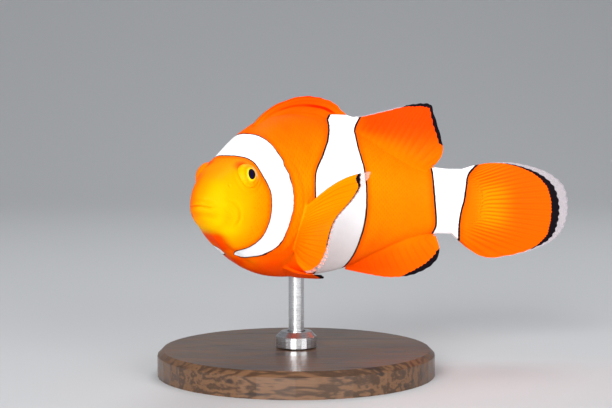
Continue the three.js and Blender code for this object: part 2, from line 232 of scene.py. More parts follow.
def mouth_relief(place):
    """The slit of the mouth, the two lips and the folds of the cheek behind them."""
    along, out, up = parts(place)
    level = 0.002 - 0.007 * (out / MOUTH_HALF) ** 2
    above = (up - level) / MM
    inside = smoothstep(out, MOUTH_HALF, 0.8 * MOUTH_HALF) * smoothstep(along, 0.06, 0.045)
    lips = smoothstep(out, 1.15 * MOUTH_HALF, 0.75 * MOUTH_HALF) * smoothstep(along, 0.065, 0.045)
    slit = -0.26 * bump(above, 0, 0.1) * inside
    upper = 0.14 * bump(above, 0.5, 0.4) - 0.08 * bump(above, 1.3, 0.32)
    lower = 0.17 * bump(above, -0.75, 0.55) - 0.05 * bump(above, -1.9, 0.4)
    corner = np.hypot(along - CHEEK[0], up - CHEEK[1]) / MM
    aside = smoothstep(out, 0.02, 0.035)
    behind = smoothstep(along, 0.035, 0.06) * aside * smoothstep(up, -0.055, -0.035)
    fold = (0.06 * bump(corner, CHEEK_RIDGE, 0.5) - 0.1 * bump(corner, CHEEK_CREASE, 0.42)) * behind
    falling = (up + 0.005 + 0.68 * (along - 0.045)) / MM
    near = smoothstep(along, 0.04, 0.05) * smoothstep(along, 0.078, 0.066)
    fold -= 0.05 * bump(falling, 0, 0.3) * near * aside
    return slit + (upper + lower) * lips + fold


def eye_relief(place):
    """The socket: a sunk opening for the eyeball, with a low ring of skin round it."""
    away, depth = eye_distance(place)
    past = away / MM - EYE_SHOWN
    near = smoothstep(depth, -0.012, 0.0)
    edge = -0.1 * smoothstep(past, 0.6, 0.0) - 1.2 * smoothstep(past, 0.02, -0.36)
    ring = 0.03 * bump(past, 0.5, 0.35) - 0.06 * bump(past, 1.05, 0.33)
    return (edge + ring) * near


def nostril_relief(place):
    along, out, up = parts(place)
    away = np.hypot(along - NOSTRIL[0], up - NOSTRIL[1]) / MM
    side = smoothstep(out, 0.015, 0.03)
    return (0.03 * bump(away, 0.4, 0.2) - 0.16 * bump(away, 0, 0.18)) * side


def oval_edge(along, up, oval):
    """Millimetres past the edge of an oval, and the place as shares of its halves."""
    back = (along - oval["along"]) / oval["length"]
    level = (up - oval["up"]) / oval["height"]
    return (np.hypot(back, level) - 1) * oval["length"] / MM, back, level


def gill_relief(place):
    """The edges of the gill cover and of the bone ahead of it, and the folds of the throat."""
    along, out, up = parts(place)
    edge, back, level = oval_edge(along, up, GILL_COVER)
    rear = smoothstep(back, -0.1, 0.35) * smoothstep(np.abs(level), 1.02, 0.8)
    cover = (0.1 * smoothstep(edge, 0.4, -0.3) * smoothstep(edge, -3.2, -0.6)
             - 0.07 * bump(edge, 0.6, 0.45)) * rear
    front, _, _ = oval_edge(along, up, CHEEK_BONE)
    lower = smoothstep(along, 0.135, 0.175) * smoothstep(up, 0.075, 0.035)
    bone = (0.04 * bump(front, -0.4, 0.5) - 0.05 * bump(front, 0.3, 0.4)) * lower
    throat = smoothstep(up, -0.06, -0.09) * smoothstep(along, 0.28, 0.2) * smoothstep(along, 0.05, 0.09)
    gap = np.abs(out - GILL_SLIT - 0.1 * np.maximum(along - 0.12, 0)) / MM
    isthmus = (0.2 * bump(out / MM, 0, 0.8) - 0.12 * bump(gap, 0, 0.45)) * throat
    return cover + bone + isthmus


def relief(place):
    """The height of the skin over the plain body, in millimetres."""
    return mouth_relief(place) + eye_relief(place) + nostril_relief(place) + gill_relief(place)


def surface(along, turn, lift=0.0):
    """A place on the skin with its relief, lift millimetres above it."""
    small = 1e-3
    place = body_place(along, turn)
    lengthwise = body_place(along + small, turn) - body_place(np.maximum(along - small, 0), turn)
    around = body_place(along, turn + small) - body_place(along, turn - small)
    normal = np.cross(lengthwise, around)
    size = np.linalg.norm(normal, axis=-1, keepdims=True)
    end = np.where(np.asarray(along)[..., None] < 0.5, (-1.0, 0, 0), (1.0, 0, 0))
    normal = np.where(size > 1e-9, normal / np.maximum(size, 1e-9), end)
    outwards = np.stack([np.cos(turn), np.sin(turn)], -1)
    flip = np.sum(normal[..., 1:] * outwards, -1, keepdims=True) < 0
    normal = np.where(flip & (size > 1e-9), -normal, normal)
    return place + normal * ((relief(place) + lift) * MM)[..., None]


# ---- the markings --------------------------------------------------------------------------

# The front and the rear edge of each white bar: up, along.
HEAD_BAR = (
    [(-0.16, 0.12), (-0.12, 0.15), (-0.107, 0.173), (-0.08, 0.197), (-0.038, 0.209), (0.0, 0.21),
     (0.038, 0.205), (0.082, 0.179), (0.12, 0.162), (0.14, 0.135), (0.19, 0.07)],
    [(-0.16, 0.08), (-0.137, 0.18), (-0.131, 0.225), (-0.106, 0.274), (-0.06, 0.304), (0.016, 0.316),
     (0.06, 0.305), (0.118, 0.278), (0.159, 0.256), (0.186, 0.233), (0.23, 0.18)],
)
MIDDLE_BAR = (
    [(-0.22, 0.52), (-0.12, 0.475), (-0.04, 0.44), (0.04, 0.431), (0.089, 0.439), (0.133, 0.477),
     (0.178, 0.514), (0.233, 0.546), (0.3, 0.585)],
    [(-0.22, 0.59), (-0.18, 0.606), (-0.138, 0.624), (-0.044, 0.644), (0.05, 0.643), (0.102, 0.637),
     (0.147, 0.626), (0.18, 0.625), (0.215, 0.634), (0.25, 0.655), (0.3, 0.68)],
)
TAIL_BAR = (
    [(-0.14, 0.888), (-0.083, 0.895), (-0.06, 0.9), (0.0, 0.891), (0.06, 0.885), (0.14, 0.884)],
    [(-0.14, 0.975), (-0.08, 0.969), (-0.029, 0.97), (0.015, 0.98), (0.06, 0.986), (0.094, 0.995),
     (0.13, 1.03)],
)
POINT_OUT = 0.009  # how far from the middle of the throat the head bar comes to a point
POINT_ROUND = 0.022  # and over what width it opens
FAR_SHIFT = 0.04  # how much further forward the right end of the head bar is under the throat
BROW = (0.124, 0.053, 0.104)  # the middle of the dark patch over an eye


def bar_depth(place, bar):
    """How far inside a white bar a place is; negative outside it."""
    along, up = place[..., 0], place[..., 2]
    small = 0.004

    def beyond(edge):
        at = smooth(edge, up)[..., 0]
        slope = (smooth(edge, up + small)[..., 0] - smooth(edge, up - small)[..., 0]) / (2 * small)
        return (along - at) / np.sqrt(1 + slope**2)

    front, rear = bar
    return np.minimum(beyond(front), -beyond(rear))


def body_bars(place):
    """Depth inside the nearest bar. The head bar tapers to a point on each side of the throat."""
    _, out, up = parts(place)
    forward = FAR_SHIFT * smoothstep(up, -0.09, -0.11) * smoothstep(place[..., 1], 0.0, -0.02)
    front, rear = (smooth(edge, up)[..., 0] for edge in HEAD_BAR)
    opened = np.clip(np.maximum(out - POINT_OUT, 0) / POINT_ROUND + smoothstep(up, -0.08, -0.05), 0, 1)
    closed = 1 - np.sqrt(opened * (2 - opened)) + 8 * np.maximum(POINT_OUT - out, 0) * (1 - opened)
    head = bar_depth(place + forward[..., None] * (1, 0, 0), HEAD_BAR)
    head = head - 0.5 * np.maximum(rear - front, 0.02) * closed
    return np.maximum.reduce([head, bar_depth(place, MIDDLE_BAR), bar_depth(place, TAIL_BAR)])


# ---- making meshes -------------------------------------------------------------------------

NO_BAR = -0.2  # the depth stored where there is no bar or black band
POINT_DATA = ("rest", "bar", "dark", "blade", "ray")


def set_places(bm, places):
    for vertex, place in zip(bm.verts, places.tolist()):
        vertex.co = place


def set_data(mesh, name, values):
    """Stores one number, or one vector, for each vertex."""
    values = np.ascontiguousarray(values, dtype=np.float32)
    kind, field = ("FLOAT", "value") if values.ndim == 1 else ("FLOAT_VECTOR", "vector")
    layer = mesh.attributes.get(name) or mesh.attributes.new(name, kind, "POINT")
    layer.data.foreach_set(field, values.ravel())


def get_data(mesh, name):
    layer = mesh.attributes[name]
    size = 3 if layer.data_type == "FLOAT_VECTOR" else 1
    values = np.empty(len(mesh.vertices) * size, dtype=np.float32)
    layer.data.foreach_get("vector" if size == 3 else "value", values)
    return values.reshape(-1, 3) if size == 3 else values


def link_new(name, data):
    made = bpy.data.objects.new(name, data)
    bpy.context.scene.collection.objects.link(made)
    return made


def new_object(name, bm, data=()):
    mesh = bpy.data.meshes.new(name)
    bm.to_mesh(mesh)
    bm.free()
    for key, values in dict(data).items():
        set_data(mesh, key, values)
    mesh.shade_smooth()
    return link_new(name, mesh)


def ball_places(bm):
    """Places on a sphere of radius 1 that is still to be shaped."""
    return np.array([vertex.co[:] for vertex in bm.verts])


# ---- the fins ------------------------------------------------------------------------------

# A fin's edge: ray (0 first, 1 last), then the place of the ray's tip.
DORSAL_EDGE = [
    (0, 0.265, 0.211), (0.06, 0.315, 0.246), (0.12, 0.372, 0.273), (0.24, 0.468, 0.297),
    (0.4, 0.562, 0.285), (0.5, 0.612, 0.25), (0.57, 0.648, 0.246), (0.68, 0.745, 0.269),
    (0.76, 0.81, 0.286), (0.85, 0.874, 0.29), (0.875, 0.884, 0.268), (0.94, 0.914, 0.186),
    (0.97, 0.918, 0.148), (1, 0.9, 0.118),
]
ANAL_EDGE = [
    (0, 0.628, -0.19), (0.2, 0.7, -0.204), (0.4, 0.765, -0.213), (0.6, 0.828, -0.209),
    (0.72, 0.866, -0.196), (0.82, 0.895, -0.178), (0.9, 0.913, -0.155), (0.95, 0.917, -0.13),
    (1, 0.905, -0.092),
]
DORSAL_ROOT = (0.262, 0.865)  # along, where the first ray and the last grow
ANAL_ROOT = (0.615, 0.865)
ROOT_DEPTH = 0.02  # how far inside the body a fin starts
TAIL_EDGE = [
    (0, 1.012, 0.116), (0.06, 1.05, 0.123), (0.13, 1.086, 0.127), (0.2, 1.13, 0.128),
    (0.28, 1.19, 0.119), (0.36, 1.248, 0.1), (0.44, 1.29, 0.068), (0.5, 1.304, 0.034),
    (0.56, 1.308, -0.004), (0.63, 1.302, -0.042), (0.7, 1.287, -0.076), (0.77, 1.258, -0.104),
    (0.84, 1.212, -0.126), (0.9, 1.16, -0.143), (0.94, 1.11, -0.1525), (0.965, 1.075, -0.156),
    (0.985, 1.04, -0.147), (1, 1.0, -0.124),
]
TAIL_ROOT = (0.955, 0.098, 0.945, -0.081)  # along and up, of the first ray and of the last

# A paired fin: ray, the root's along and up, the ray's run along, out and up, its bow along and up.
PECTORAL_SPREAD = [
    (0, 0.386, -0.023, 0.068, 0.215, 0.121, 0, 0.027),
    (0.08, 0.382, -0.031, 0.061, 0.212, 0.113, 0, 0.02),
    (0.2, 0.381, -0.043, -0.004, 0.207, 0.087, 0, 0.01),
    (0.35, 0.381, -0.058, -0.054, 0.198, 0.07, 0, 0.002),
    (0.5, 0.382, -0.072, -0.098, 0.192, 0.051, 0, 0),
    (0.65, 0.384, -0.085, -0.118, 0.187, 0.027, -0.002, 0),
    (0.8, 0.386, -0.096, -0.115, 0.176, -0.009, -0.008, 0),
    (0.9, 0.388, -0.104, -0.105, 0.161, -0.039, -0.013, -0.002),
    (0.96, 0.389, -0.109, -0.083, 0.125, -0.059, -0.016, -0.004),
    (1, 0.39, -0.112, -0.079, 0.094, -0.064, -0.018, -0.006),
]
PECTORAL_FOLDED = [
    (0, 0.386, -0.023, 0.197, 0.072, 0.093, 0, 0.02),
    (0.25, 0.382, -0.046, 0.223, 0.077, 0.049, 0, 0.01),
    (0.5, 0.382, -0.072, 0.203, 0.075, 0.01, 0, 0),
    (0.75, 0.385, -0.092, 0.15, 0.072, -0.031, 0, 0),
    (1, 0.39, -0.112, 0.055, 0.05, -0.063, 0, -0.008),
]
PELVIC = [
    (0, 0.35, -0.178, 0.115, 0.046, -0.014, 0, -0.003),
    (0.35, 0.356, -0.182, 0.139, 0.041, -0.02, 0, -0.004),
    (0.7, 0.362, -0.185, 0.128, 0.029, -0.021, 0, -0.005),
    (1, 0.368, -0.188, 0.087, 0.023, -0.016, 0, -0.004),
]
CLEAR_ROWS = 4  # the outermost rows of a fin, which fill its clear margin
LEAST_MARGIN = 0.0025  # a narrower clear margin is drawn as skin
DARK_BAND = 0.014  # the depths inside a narrower black band are stretched towards those of this one
STRETCH = (1, 4)  # the least and the most that they are stretched
FLARE_FALL = 1.1  # over how many millimetres up the blade its flare falls away
RIPPLE_ACROSS, RIPPLE_ALONG = 9, 2.2  # the wave of a blade, in radians from side to side and root to tip


def along_edge(rows):
    """A width given at a few rays."""
    return lambda ray: np.maximum(smooth(rows, ray)[..., 0], 0)


# Widths that are the same at every ray.
NO_WIDTH = [(0, 0), (1, 0)]
THIN = [(0, 0.001), (1, 0.001)]


class Fin:
    """One fin: a blade of rays. Places are straight; widths are in standard lengths.

    place(ray, reach) is the middle of the blade, with reach 0 at its root and 1 at its edge. The
    margin is its clear edge and the band is the black one inside it, both as rows of (ray, width).
    The blade is root millimetres thick at the body and edge at its tip, its rays stand out by relief
    and part in two beyond branch, and it widens into the body by its flare. A folded blade has
    creases along it instead of rays. Its bars end at the level of its top.
    """

    def __init__(self, name, rays, place, margin, band, bars=(), root=1.4, edge=0.16, relief=0.1,
                 branch=0.45, wave=0.0, rows=22, per_ray=8, scallop=0.012, folds=0, flare=0.0, top=9.0):
        self.name, self.rays, self.place, self.bars = name, rays, place, bars
        self.margin, self.band = along_edge(margin), along_edge(band)
        self.root, self.edge, self.relief, self.branch = root, edge, relief, branch
        self.wave, self.rows, self.per_ray, self.scallop = wave, rows, per_ray, scallop
        self.folds, self.flare, self.top = folds, flare, top
        self.clear_from = 1 - CLEAR_ROWS / rows

    def count(self, ray, reach):
        """The rays, or folds, counted up to a place: whole between two of them."""
        if self.folds:
            return self.folds * (reach**0.8 - 0.28 * ray) + 0.3
        return ray * self.rays

    def ridge(self, ray, reach):
        """1 on the middle of a ray and 0 between rays; soft rays part in two."""
        phase = 2 * np.pi * self.count(ray, reach)
        single = 0.5 - 0.5 * np.cos(phase)
        double = 0.5 - 0.5 * np.cos(2 * phase)
        parted = smoothstep(reach, self.branch, self.branch + 0.25)
        return single + (double - single) * parted

    def run(self, ray):
        return np.linalg.norm(self.place(ray, np.ones_like(ray)) - self.place(ray, 0 * ray), axis=-1)

    def reach_of(self, ray, row):
        """Rows are even up to the clear margin, whose own rows fill its width."""
        inner = 1 - np.minimum(self.margin(ray) / self.run(ray), 0.6)
        within = row / self.clear_from * inner
        beyond = inner + (row - self.clear_from) / (1 - self.clear_from) * (1 - inner)
        return np.where(row < self.clear_from, within, beyond)

    def middle(self, ray, row):
        reach = self.reach_of(ray, row)
        between = 0.5 + 0.5 * np.cos(2 * np.pi * ray * self.rays)
        reach = reach * (1 - self.scallop * between * reach**2)
        return self.place(ray, reach), reach

    def directions(self, ray, reach):
        """The way out of the blade's side, at each place on it."""
        small = 2e-3
        before = np.maximum(ray - small, 0)
        lower, higher = np.maximum(reach - small, 0), np.maximum(reach, small)
        across = to_frame(self.place(before + small, reach)) - to_frame(self.place(before, reach))
        outwards = to_frame(self.place(ray, higher)) - to_frame(self.place(ray, lower))
        normal = np.cross(across, outwards)
        return normal / np.linalg.norm(normal, axis=-1, keepdims=True)

    def half_thickness(self, ray, reach):
        """Half the blade's thickness, in metres."""
        thin = np.minimum(1, reach * 1.3) ** 0.8
        plate = self.root + (self.edge - self.root) * thin
        ends = smoothstep(np.minimum(ray, 1 - ray) * self.rays, -0.35, 0.5)
        plate = plate * (0.35 + 0.65 * ends)
        ridge = self.ridge(ray, reach)
        raised = self.relief * smoothstep(reach, 0.05, 0.3) * (1 - 0.55 * reach) * ridge
        spread = self.flare * np.exp(-reach * self.run(ray) / MM / FLARE_FALL)
        return 0.0005 * (plate * (0.85 + 0.15 * ridge) + raised + spread * (0.3 + 0.7 * ends))

    def dark_depth(self, ray, reach):
        """How far inside the black band a place is; negative outside it."""
        margin, band = self.margin(ray), self.band(ray)
        from_edge = (1 - reach) * self.run(ray)
        dark = (margin + band - from_edge) * np.clip(DARK_BAND / np.maximum(band, 1e-4), *STRETCH)
        return np.where(band > 0.0005, dark, NO_BAR)

    def bars_at(self, straight):
        """How far inside the fin's white bars a place is; negative outside them."""
        bar = np.full(len(straight), NO_BAR)
        for one in self.bars:
            bar = np.maximum(bar, np.minimum(bar_depth(straight, one), 8 * (self.top - straight[:, 2])))
        return bar

    def build(self):
        bm = bmesh.new()
        bmesh.ops.create_grid(bm, x_segments=self.rays * self.per_ray, y_segments=self.rows, size=0.5)
        grown = bmesh.ops.extrude_face_region(bm, geom=bm.faces[:], use_keep_orig=True)
        upper = {item for item in grown["geom"] if isinstance(item, bmesh.types.BMVert)}
        bm.verts.index_update()
        side = np.array([1.0 if vertex in upper else -1.0 for vertex in bm.verts])
        grid = np.array([vertex.co[:2] for vertex in bm.verts]) + 0.5
        ray, row = np.clip(grid[:, 0], 0, 1), np.clip(grid[:, 1], 0, 1)
        straight, reach = self.middle(ray, row)
        ripple = self.wave * 0.001 * reach**1.5 * np.sin(ray * RIPPLE_ACROSS + reach * RIPPLE_ALONG)
        off_middle = self.half_thickness(ray, reach) * side + ripple
        set_places(bm, to_frame(straight) + self.directions(ray, reach) * off_middle[:, None])
        bmesh.ops.recalc_face_normals(bm, faces=bm.faces)
        margin = self.margin(ray)
        for face in bm.faces:
            corners = [vertex.index for vertex in face.verts]
            clear = row[corners].mean() > self.clear_from and margin[corners].mean() > LEAST_MARGIN
            face.material_index = 1 if clear else 0
        data = {
            "rest": straight,
            "bar": self.bars_at(straight),
            "dark": self.dark_depth(ray, reach),
            "blade": reach,
            "ray": self.count(ray, reach),
        }
        return new_object(self.name, bm, data)


def upright_place(root_along, root_up, tip, reach):
    """A place on the fish's middle plane, between a ray's root and its tip."""
    along = root_along + (tip[..., 0] - root_along) * reach
    up = root_up + (tip[..., 1] - root_up) * reach
    return np.stack([along, 0 * along, up], -1)


def ridge_place(root, edge, side, first, last, lean):
    """A fin on the back or the belly, between two shares of its edge."""
    def place(share, reach):
        ray = first + (last - first) * share
        root_along = root[0] + (root[1] - root[0]) * ray
        back, belly, _, _ = profile(root_along)
        root_up = (back if side > 0 else belly) - side * ROOT_DEPTH
        tip = smooth(edge, ray + lean * np.sin(np.pi * share))
        return upright_place(root_along, root_up, tip, reach)
    return place


def tail_place(ray, reach):
    """The rays fan out from the end of the stalk."""
    tip = smooth(TAIL_EDGE, ray)
    root_along = TAIL_ROOT[0] + (TAIL_ROOT[2] - TAIL_ROOT[0]) * ray
    root_up = TAIL_ROOT[1] + (TAIL_ROOT[3] - TAIL_ROOT[1]) * ray
    return upright_place(root_along, root_up, tip, reach)


def flank_out(along, up):
    """How far out a breast fin starts, just inside the flank."""
    back, belly, half_width, widest = profile(along)
    rise = (up - widest) / np.where(up > widest, back - widest, widest - belly)
    return half_width * np.sqrt(np.maximum(1 - rise**2, 0)) - ROOT_DEPTH


def keel_out(along, up):
    """How far out a belly fin starts, beside the keel."""
    return 0.052 - 2.2 * (along - 0.35)


def paired_place(fan, side, root_out, sink=0.0):
    """A breast or belly fin, from its rows; sink lifts its roots into the body."""
    def place(ray, reach):
        row = smooth(fan, ray)
        bow = np.sin(np.pi * reach)
        along = row[..., 0] + row[..., 2] * reach + row[..., 5] * bow
        out = root_out(row[..., 0], row[..., 1]) + row[..., 3] * reach
        up = row[..., 1] + row[..., 4] * reach + row[..., 6] * bow + sink * (1 - reach) ** 3
        return np.stack([along, side * out, up], -1)
    return place


def all_fins():
    soft_margin = [(0, 0.001), (0.12, 0.004), (0.4, 0.004), (0.48, 0.001), (1, 0.001)]
    soft_band = [(0, 0), (0.36, 0), (0.46, 0.006), (0.55, 0.01), (0.74, 0.014), (0.86, 0.013),
                 (0.9, 0), (1, 0)]
    anal_band = [(0, 0), (0.5, 0), (0.62, 0.009), (0.8, 0.015), (0.92, 0.011), (0.96, 0), (1, 0)]
    tail_margin = [(0, 0.001), (0.1, 0.003), (0.2, 0.011), (0.28, 0.018), (0.36, 0.026), (0.46, 0.03),
                   (0.56, 0.027), (0.66, 0.022), (0.74, 0.014), (0.82, 0.008), (0.9, 0.005), (1, 0.002)]
    tail_band = [(0, 0), (0.13, 0), (0.18, 0.003), (0.24, 0.007), (0.3, 0.011), (0.38, 0.017),
                 (0.46, 0.023), (0.6, 0.026), (0.7, 0.021), (0.77, 0.015), (0.83, 0.006), (0.87, 0),
                 (1, 0)]
    breast_margin = [(0, 0.036), (0.05, 0.036), (0.1, 0.024), (0.16, 0.006), (0.6, 0.005), (0.8, 0.01),
                     (0.88, 0.017), (1, 0.014)]
    breast_band = [(0, 0.013), (0.08, 0.015), (0.14, 0.008), (0.2, 0.005), (0.75, 0.004), (0.82, 0),
                   (1, 0)]
    belly_margin = [(0, 0.002), (1, 0.002)]
    belly_band = [(0, 0.02), (0.3, 0.014), (0.6, 0.004), (1, 0)]
    fins = [
        Fin("spiny_dorsal", 10, ridge_place(DORSAL_ROOT, DORSAL_EDGE, 1, 0, 0.575, 0.07), THIN, NO_WIDTH,
            bars=[MIDDLE_BAR], branch=2, rows=24, per_ray=10, scallop=0.02, folds=3, root=2.4, edge=0.3,
            relief=0.5, flare=2.2, top=0.249),
        Fin("soft_dorsal", 15, ridge_place(DORSAL_ROOT, DORSAL_EDGE, 1, 0.545, 1, 0.0), soft_margin,
            soft_band, bars=[MIDDLE_BAR], wave=0.25, root=1.6, flare=2.0),
        Fin("anal", 13, ridge_place(ANAL_ROOT, ANAL_EDGE, -1, 0, 1, 0.0), THIN, anal_band, wave=0.2,
            root=1.6, flare=1.6),
        Fin("tail", 28, tail_place, tail_margin, tail_band, bars=[TAIL_BAR], wave=0.3, rows=34,
            per_ray=6, branch=0.5, root=2.4, relief=0.06),
    ]
    for side, name, fan in ((1, "left", PECTORAL_SPREAD), (-1, "right", PECTORAL_FOLDED)):
        fins.append(Fin(f"pectoral_{name}", 19, paired_place(fan, side, flank_out), breast_margin,
                        breast_band, wave=0.35, rows=24, root=1.5))
        fins.append(Fin(f"pelvic_{name}", 6, paired_place(PELVIC, side, keel_out, 0.014), belly_margin,
                        belly_band, rows=18, root=0.9))
    return fins


# ---- the skin ------------------------------------------------------------------------------

# How the rings of the skin are spread: share of the rings, place along. They are close on the head.
RINGS = [(0, 0), (0.05, 0.0012), (0.14, 0.012), (0.26, 0.058), (0.42, 0.14), (0.53, 0.215),
         (0.62, 0.32), (0.8, 0.62), (1, TAIL_END)]
RING_POINTS = 160
RING_COUNT = 216


def coat_depth(place):
    """How far the skin lies under the outside of the scales, in millimetres."""
    share = scaled_share(place[..., 0], place[..., 2]) * smoothstep(place[..., 0], 1.03, 0.9)
    return bpy.context.scene.clownfish_sizes.coat_depth * share


def build_body():
    bm = bmesh.new()
    bmesh.ops.create_uvsphere(bm, u_segments=RING_POINTS, v_segments=RING_COUNT, radius=1)
    ball = ball_places(bm)
    polar = np.arccos(np.clip(ball[:, 2], -1, 1)) / np.pi
    turn = np.arctan2(ball[:, 1], ball[:, 0])
    along = np.clip(smooth(RINGS, polar)[:, 0], 0, TAIL_END)
    straight = surface(along, turn, -coat_depth(body_place(along, turn)))
    set_places(bm, to_frame(straight))
    bmesh.ops.recalc_face_normals(bm, faces=bm.faces)
    blank = np.zeros(len(bm.verts))
    data = {"rest": straight, "bar": body_bars(straight), "dark": blank + NO_BAR, "blade": blank,
            "ray": blank}
    return new_object("clownfish_skin", bm, data)


def places_of(mesh):
    places = np.empty(len(mesh.vertices) * 3, dtype=np.float32)
    mesh.vertices.foreach_get("co", places)
    return places.reshape(-1, 3)


def join_solids(main, others, finishes):
    """One closed skin from the body and the fins that grow from it, each with the same finishes."""
    meshes = [piece.data for piece in [main] + others]
    for mesh in meshes:
        for finish in finishes:
            mesh.materials.append(finish)
    places = np.concatenate([places_of(mesh) for mesh in meshes])
    numbers = {name: np.concatenate([get_data(mesh, name) for mesh in meshes]) for name in POINT_DATA}
    group = bpy.data.collections.new("fins to join")
    bpy.context.scene.collection.children.link(group)
    for other in others:
        bpy.context.scene.collection.objects.unlink(other)
        group.objects.link(other)
    union = main.modifiers.new("union", "BOOLEAN")
    union.operation = "UNION"
    union.solver = "EXACT"
    union.operand_type = "COLLECTION"
    union.collection = group
    seen = main.evaluated_get(bpy.context.evaluated_depsgraph_get())
    joined = bpy.data.meshes.new_from_object(seen)
    main.modifiers.clear()
    main.data = joined
    for mesh in meshes:
        bpy.data.meshes.remove(mesh)
    bpy.data.collections.remove(group)
    made = restore_data(joined, places, numbers)
    soften(joined, made)


def edges_of(mesh):
    """Each edge twice, once from each end."""
    edges = np.empty(len(mesh.edges) * 2, dtype=np.int32)
    mesh.edges.foreach_get("vertices", edges)
    edges = edges.reshape(-1, 2)
    return np.concatenate([edges, edges[:, ::-1]])


def soften(mesh, made, rings=3, passes=10):
    """Eases the mesh and its numbers round the vertices made where a fin meets the body."""
    pairs = edges_of(mesh)
    near = made.copy()
    for _ in range(rings):
        near[pairs[near[pairs[:, 1]], 0]] = True
    pairs = pairs[near[pairs[:, 0]]]
    count = np.bincount(pairs[:, 0], minlength=len(near))[near][:, None]
    columns = [places_of(mesh)] + [get_data(mesh, name).reshape(len(near), -1) for name in POINT_DATA]
    values = np.concatenate(columns, axis=1).astype(float)
    for _ in range(passes):
        total = np.zeros_like(values)
        np.add.at(total, pairs[:, 0], values[pairs[:, 1]])
        values[near] += 0.5 * (total[near] / count - values[near])
    mesh.vertices.foreach_set("co", values[:, :3].astype(np.float32).ravel())
    at = 3
    for name, column in zip(POINT_DATA, columns[1:]):
        width = column.shape[1]
        set_data(mesh, name, values[:, at] if width == 1 else values[:, at:at + width])
        at += width
    mesh.update()


def restore_data(mesh, places, numbers):
    """Gives each vertex of a joined mesh the numbers that it had before, found by its place.

    Vertices made where a fin meets the body take the mean of their neighbours' numbers. Returns
    which vertices those are.
    """
    before = {place.tobytes(): index for index, place in enumerate(places)}
    source = np.array([before.get(place.tobytes(), -1) for place in places_of(mesh)])
    pairs = edges_of(mesh)
    for name, old in numbers.items():
        values = old.reshape(len(old), -1)[source]
        known = source >= 0
        while not known.all():
            use = pairs[known[pairs[:, 1]] & ~known[pairs[:, 0]]]
            total, count = np.zeros_like(values), np.zeros(len(known))
            np.add.at(total, use[:, 0], values[use[:, 1]])
            np.add.at(count, use[:, 0], 1)
            found = count > 0
            values[found] = total[found] / count[found][:, None]
            if not found.any():
                raise RuntimeError("a part of the joined skin touches no vertex of the body or fins")
            known = known | found
        set_data(mesh, name, values if name == "rest" else values[:, 0])
    return source < 0


# ---- the scales ----------------------------------------------------------------------------

SCALE_PIECES = [("scales_head", 0.0, 0.3), ("scales_breast", 0.3, 0.48), ("scales_flank", 0.48, 0.7),
                ("scales_stalk", 0.7, 1.1)]
FIRST_ROW, LAST_ROW = 0.1, 0.985  # along
ROW_STEP = 0.5  # from one row to the next, in widths of a scale
SCALE_HALF_WIDTH, SCALE_HALF_LENGTH = 0.56, 0.78  # in the same widths
SCALE_WOBBLE = 0.06
LEAST_SHARE = 0.04  # below this, the skin is left bare
EYE_CLEARANCE = 0.9  # of bare skin round the socket, millimetres
PLATE_INSET, PLATE_TOP = 0.4, 1.25  # the raised middle of a scale: how far in, and how high
PLATE_TAPER = (0.8, 0.2)  # its half width at the middle, and what is added towards the free edge
SHARP_ANGLE = math.radians(35)
# Where a scale lies on its map: the shares that the fish's length and girth take, and its own size.
MAP_LENGTH, MAP_GIRTH, MAP_SCALE = 0.9, 0.99, 0.003


def scale_template(sides=10):
    """One scale, flat: a closed plate with a raised middle, x across and y to its free edge."""
    bm = bmesh.new()
    bmesh.ops.create_circle(bm, cap_ends=True, segments=sides, radius=1)
    grown = bmesh.ops.extrude_face_region(bm, geom=bm.faces[:], use_keep_orig=True)["geom"]
    for item in grown:
        if isinstance(item, bmesh.types.BMVert):
            item.co.z = 1.0
    top = [item for item in grown if isinstance(item, bmesh.types.BMFace)]
    bmesh.ops.inset_region(bm, faces=top, thickness=PLATE_INSET, use_even_offset=True)
    for vertex in top[0].verts:
        vertex.co.z = PLATE_TOP
    bmesh.ops.recalc_face_normals(bm, faces=bm.faces)
    bmesh.ops.triangulate(bm, faces=bm.faces)
    bm.verts.index_update()
    places = np.array([vertex.co[:] for vertex in bm.verts])
    faces = np.array([[vertex.index for vertex in face.verts] for face in bm.faces])
    bm.free()
    places[:, 0] *= PLATE_TAPER[0] + PLATE_TAPER[1] * places[:, 1]
    return places, faces


def ring_turns(along, samples=720):
    """Turns round the body at one place along it, with the length of skin up to each."""
    turns = np.linspace(-np.pi / 2, 1.5 * np.pi, samples + 1)
    ring = body_place(np.full(samples + 1, along), turns)
    steps = np.linalg.norm(np.diff(ring, axis=0), axis=-1)
    return turns, np.concatenate([[0], np.cumsum(steps)])


def lay_row(here, start, wobble, ring, width, template):
    """One row of scales: each scale's own places, and which of the scales are kept."""
    turns, lengths = ring

    def turn_at(distance):
        return np.interp(distance % lengths[-1], lengths, turns)

    x, y, z = template[:, 0], template[:, 1], template[:, 2]
    middle_turn = turn_at(start)
    middle = body_place(np.full(len(start), here), middle_turn)
    share = scaled_share(middle[:, 0], middle[:, 2])[:, None]
    away, depth = eye_distance(middle)
    clear = (away > (EYE_SHOWN + EYE_CLEARANCE) * MM) | (depth < 0)
    coat = bpy.context.scene.clownfish_sizes.coat_depth * share
    rise = (y + 1) / 2
    top = coat * (-1.45 + 1.15 * rise + 0.3 * z * (0.35 + 0.65 * rise))
    lift = np.where(z < 0.5, coat * (-1.6 + 0.45 * rise), top)
    shrink = 0.55 + 0.45 * share
    turn = turn_at(start[:, None] + wobble[:, :1] + x * width * SCALE_HALF_WIDTH)
    turn = middle_turn[:, None] + (turn - middle_turn[:, None]) * shrink
    at = here + wobble[:, 1:] + (y + 0.1) * width * SCALE_HALF_LENGTH
    at = np.clip(here + (at - here) * shrink, 0.02, TAIL_END - 0.001)
    return surface(at, turn, lift), (share[:, 0] > LEAST_SHARE) & clear


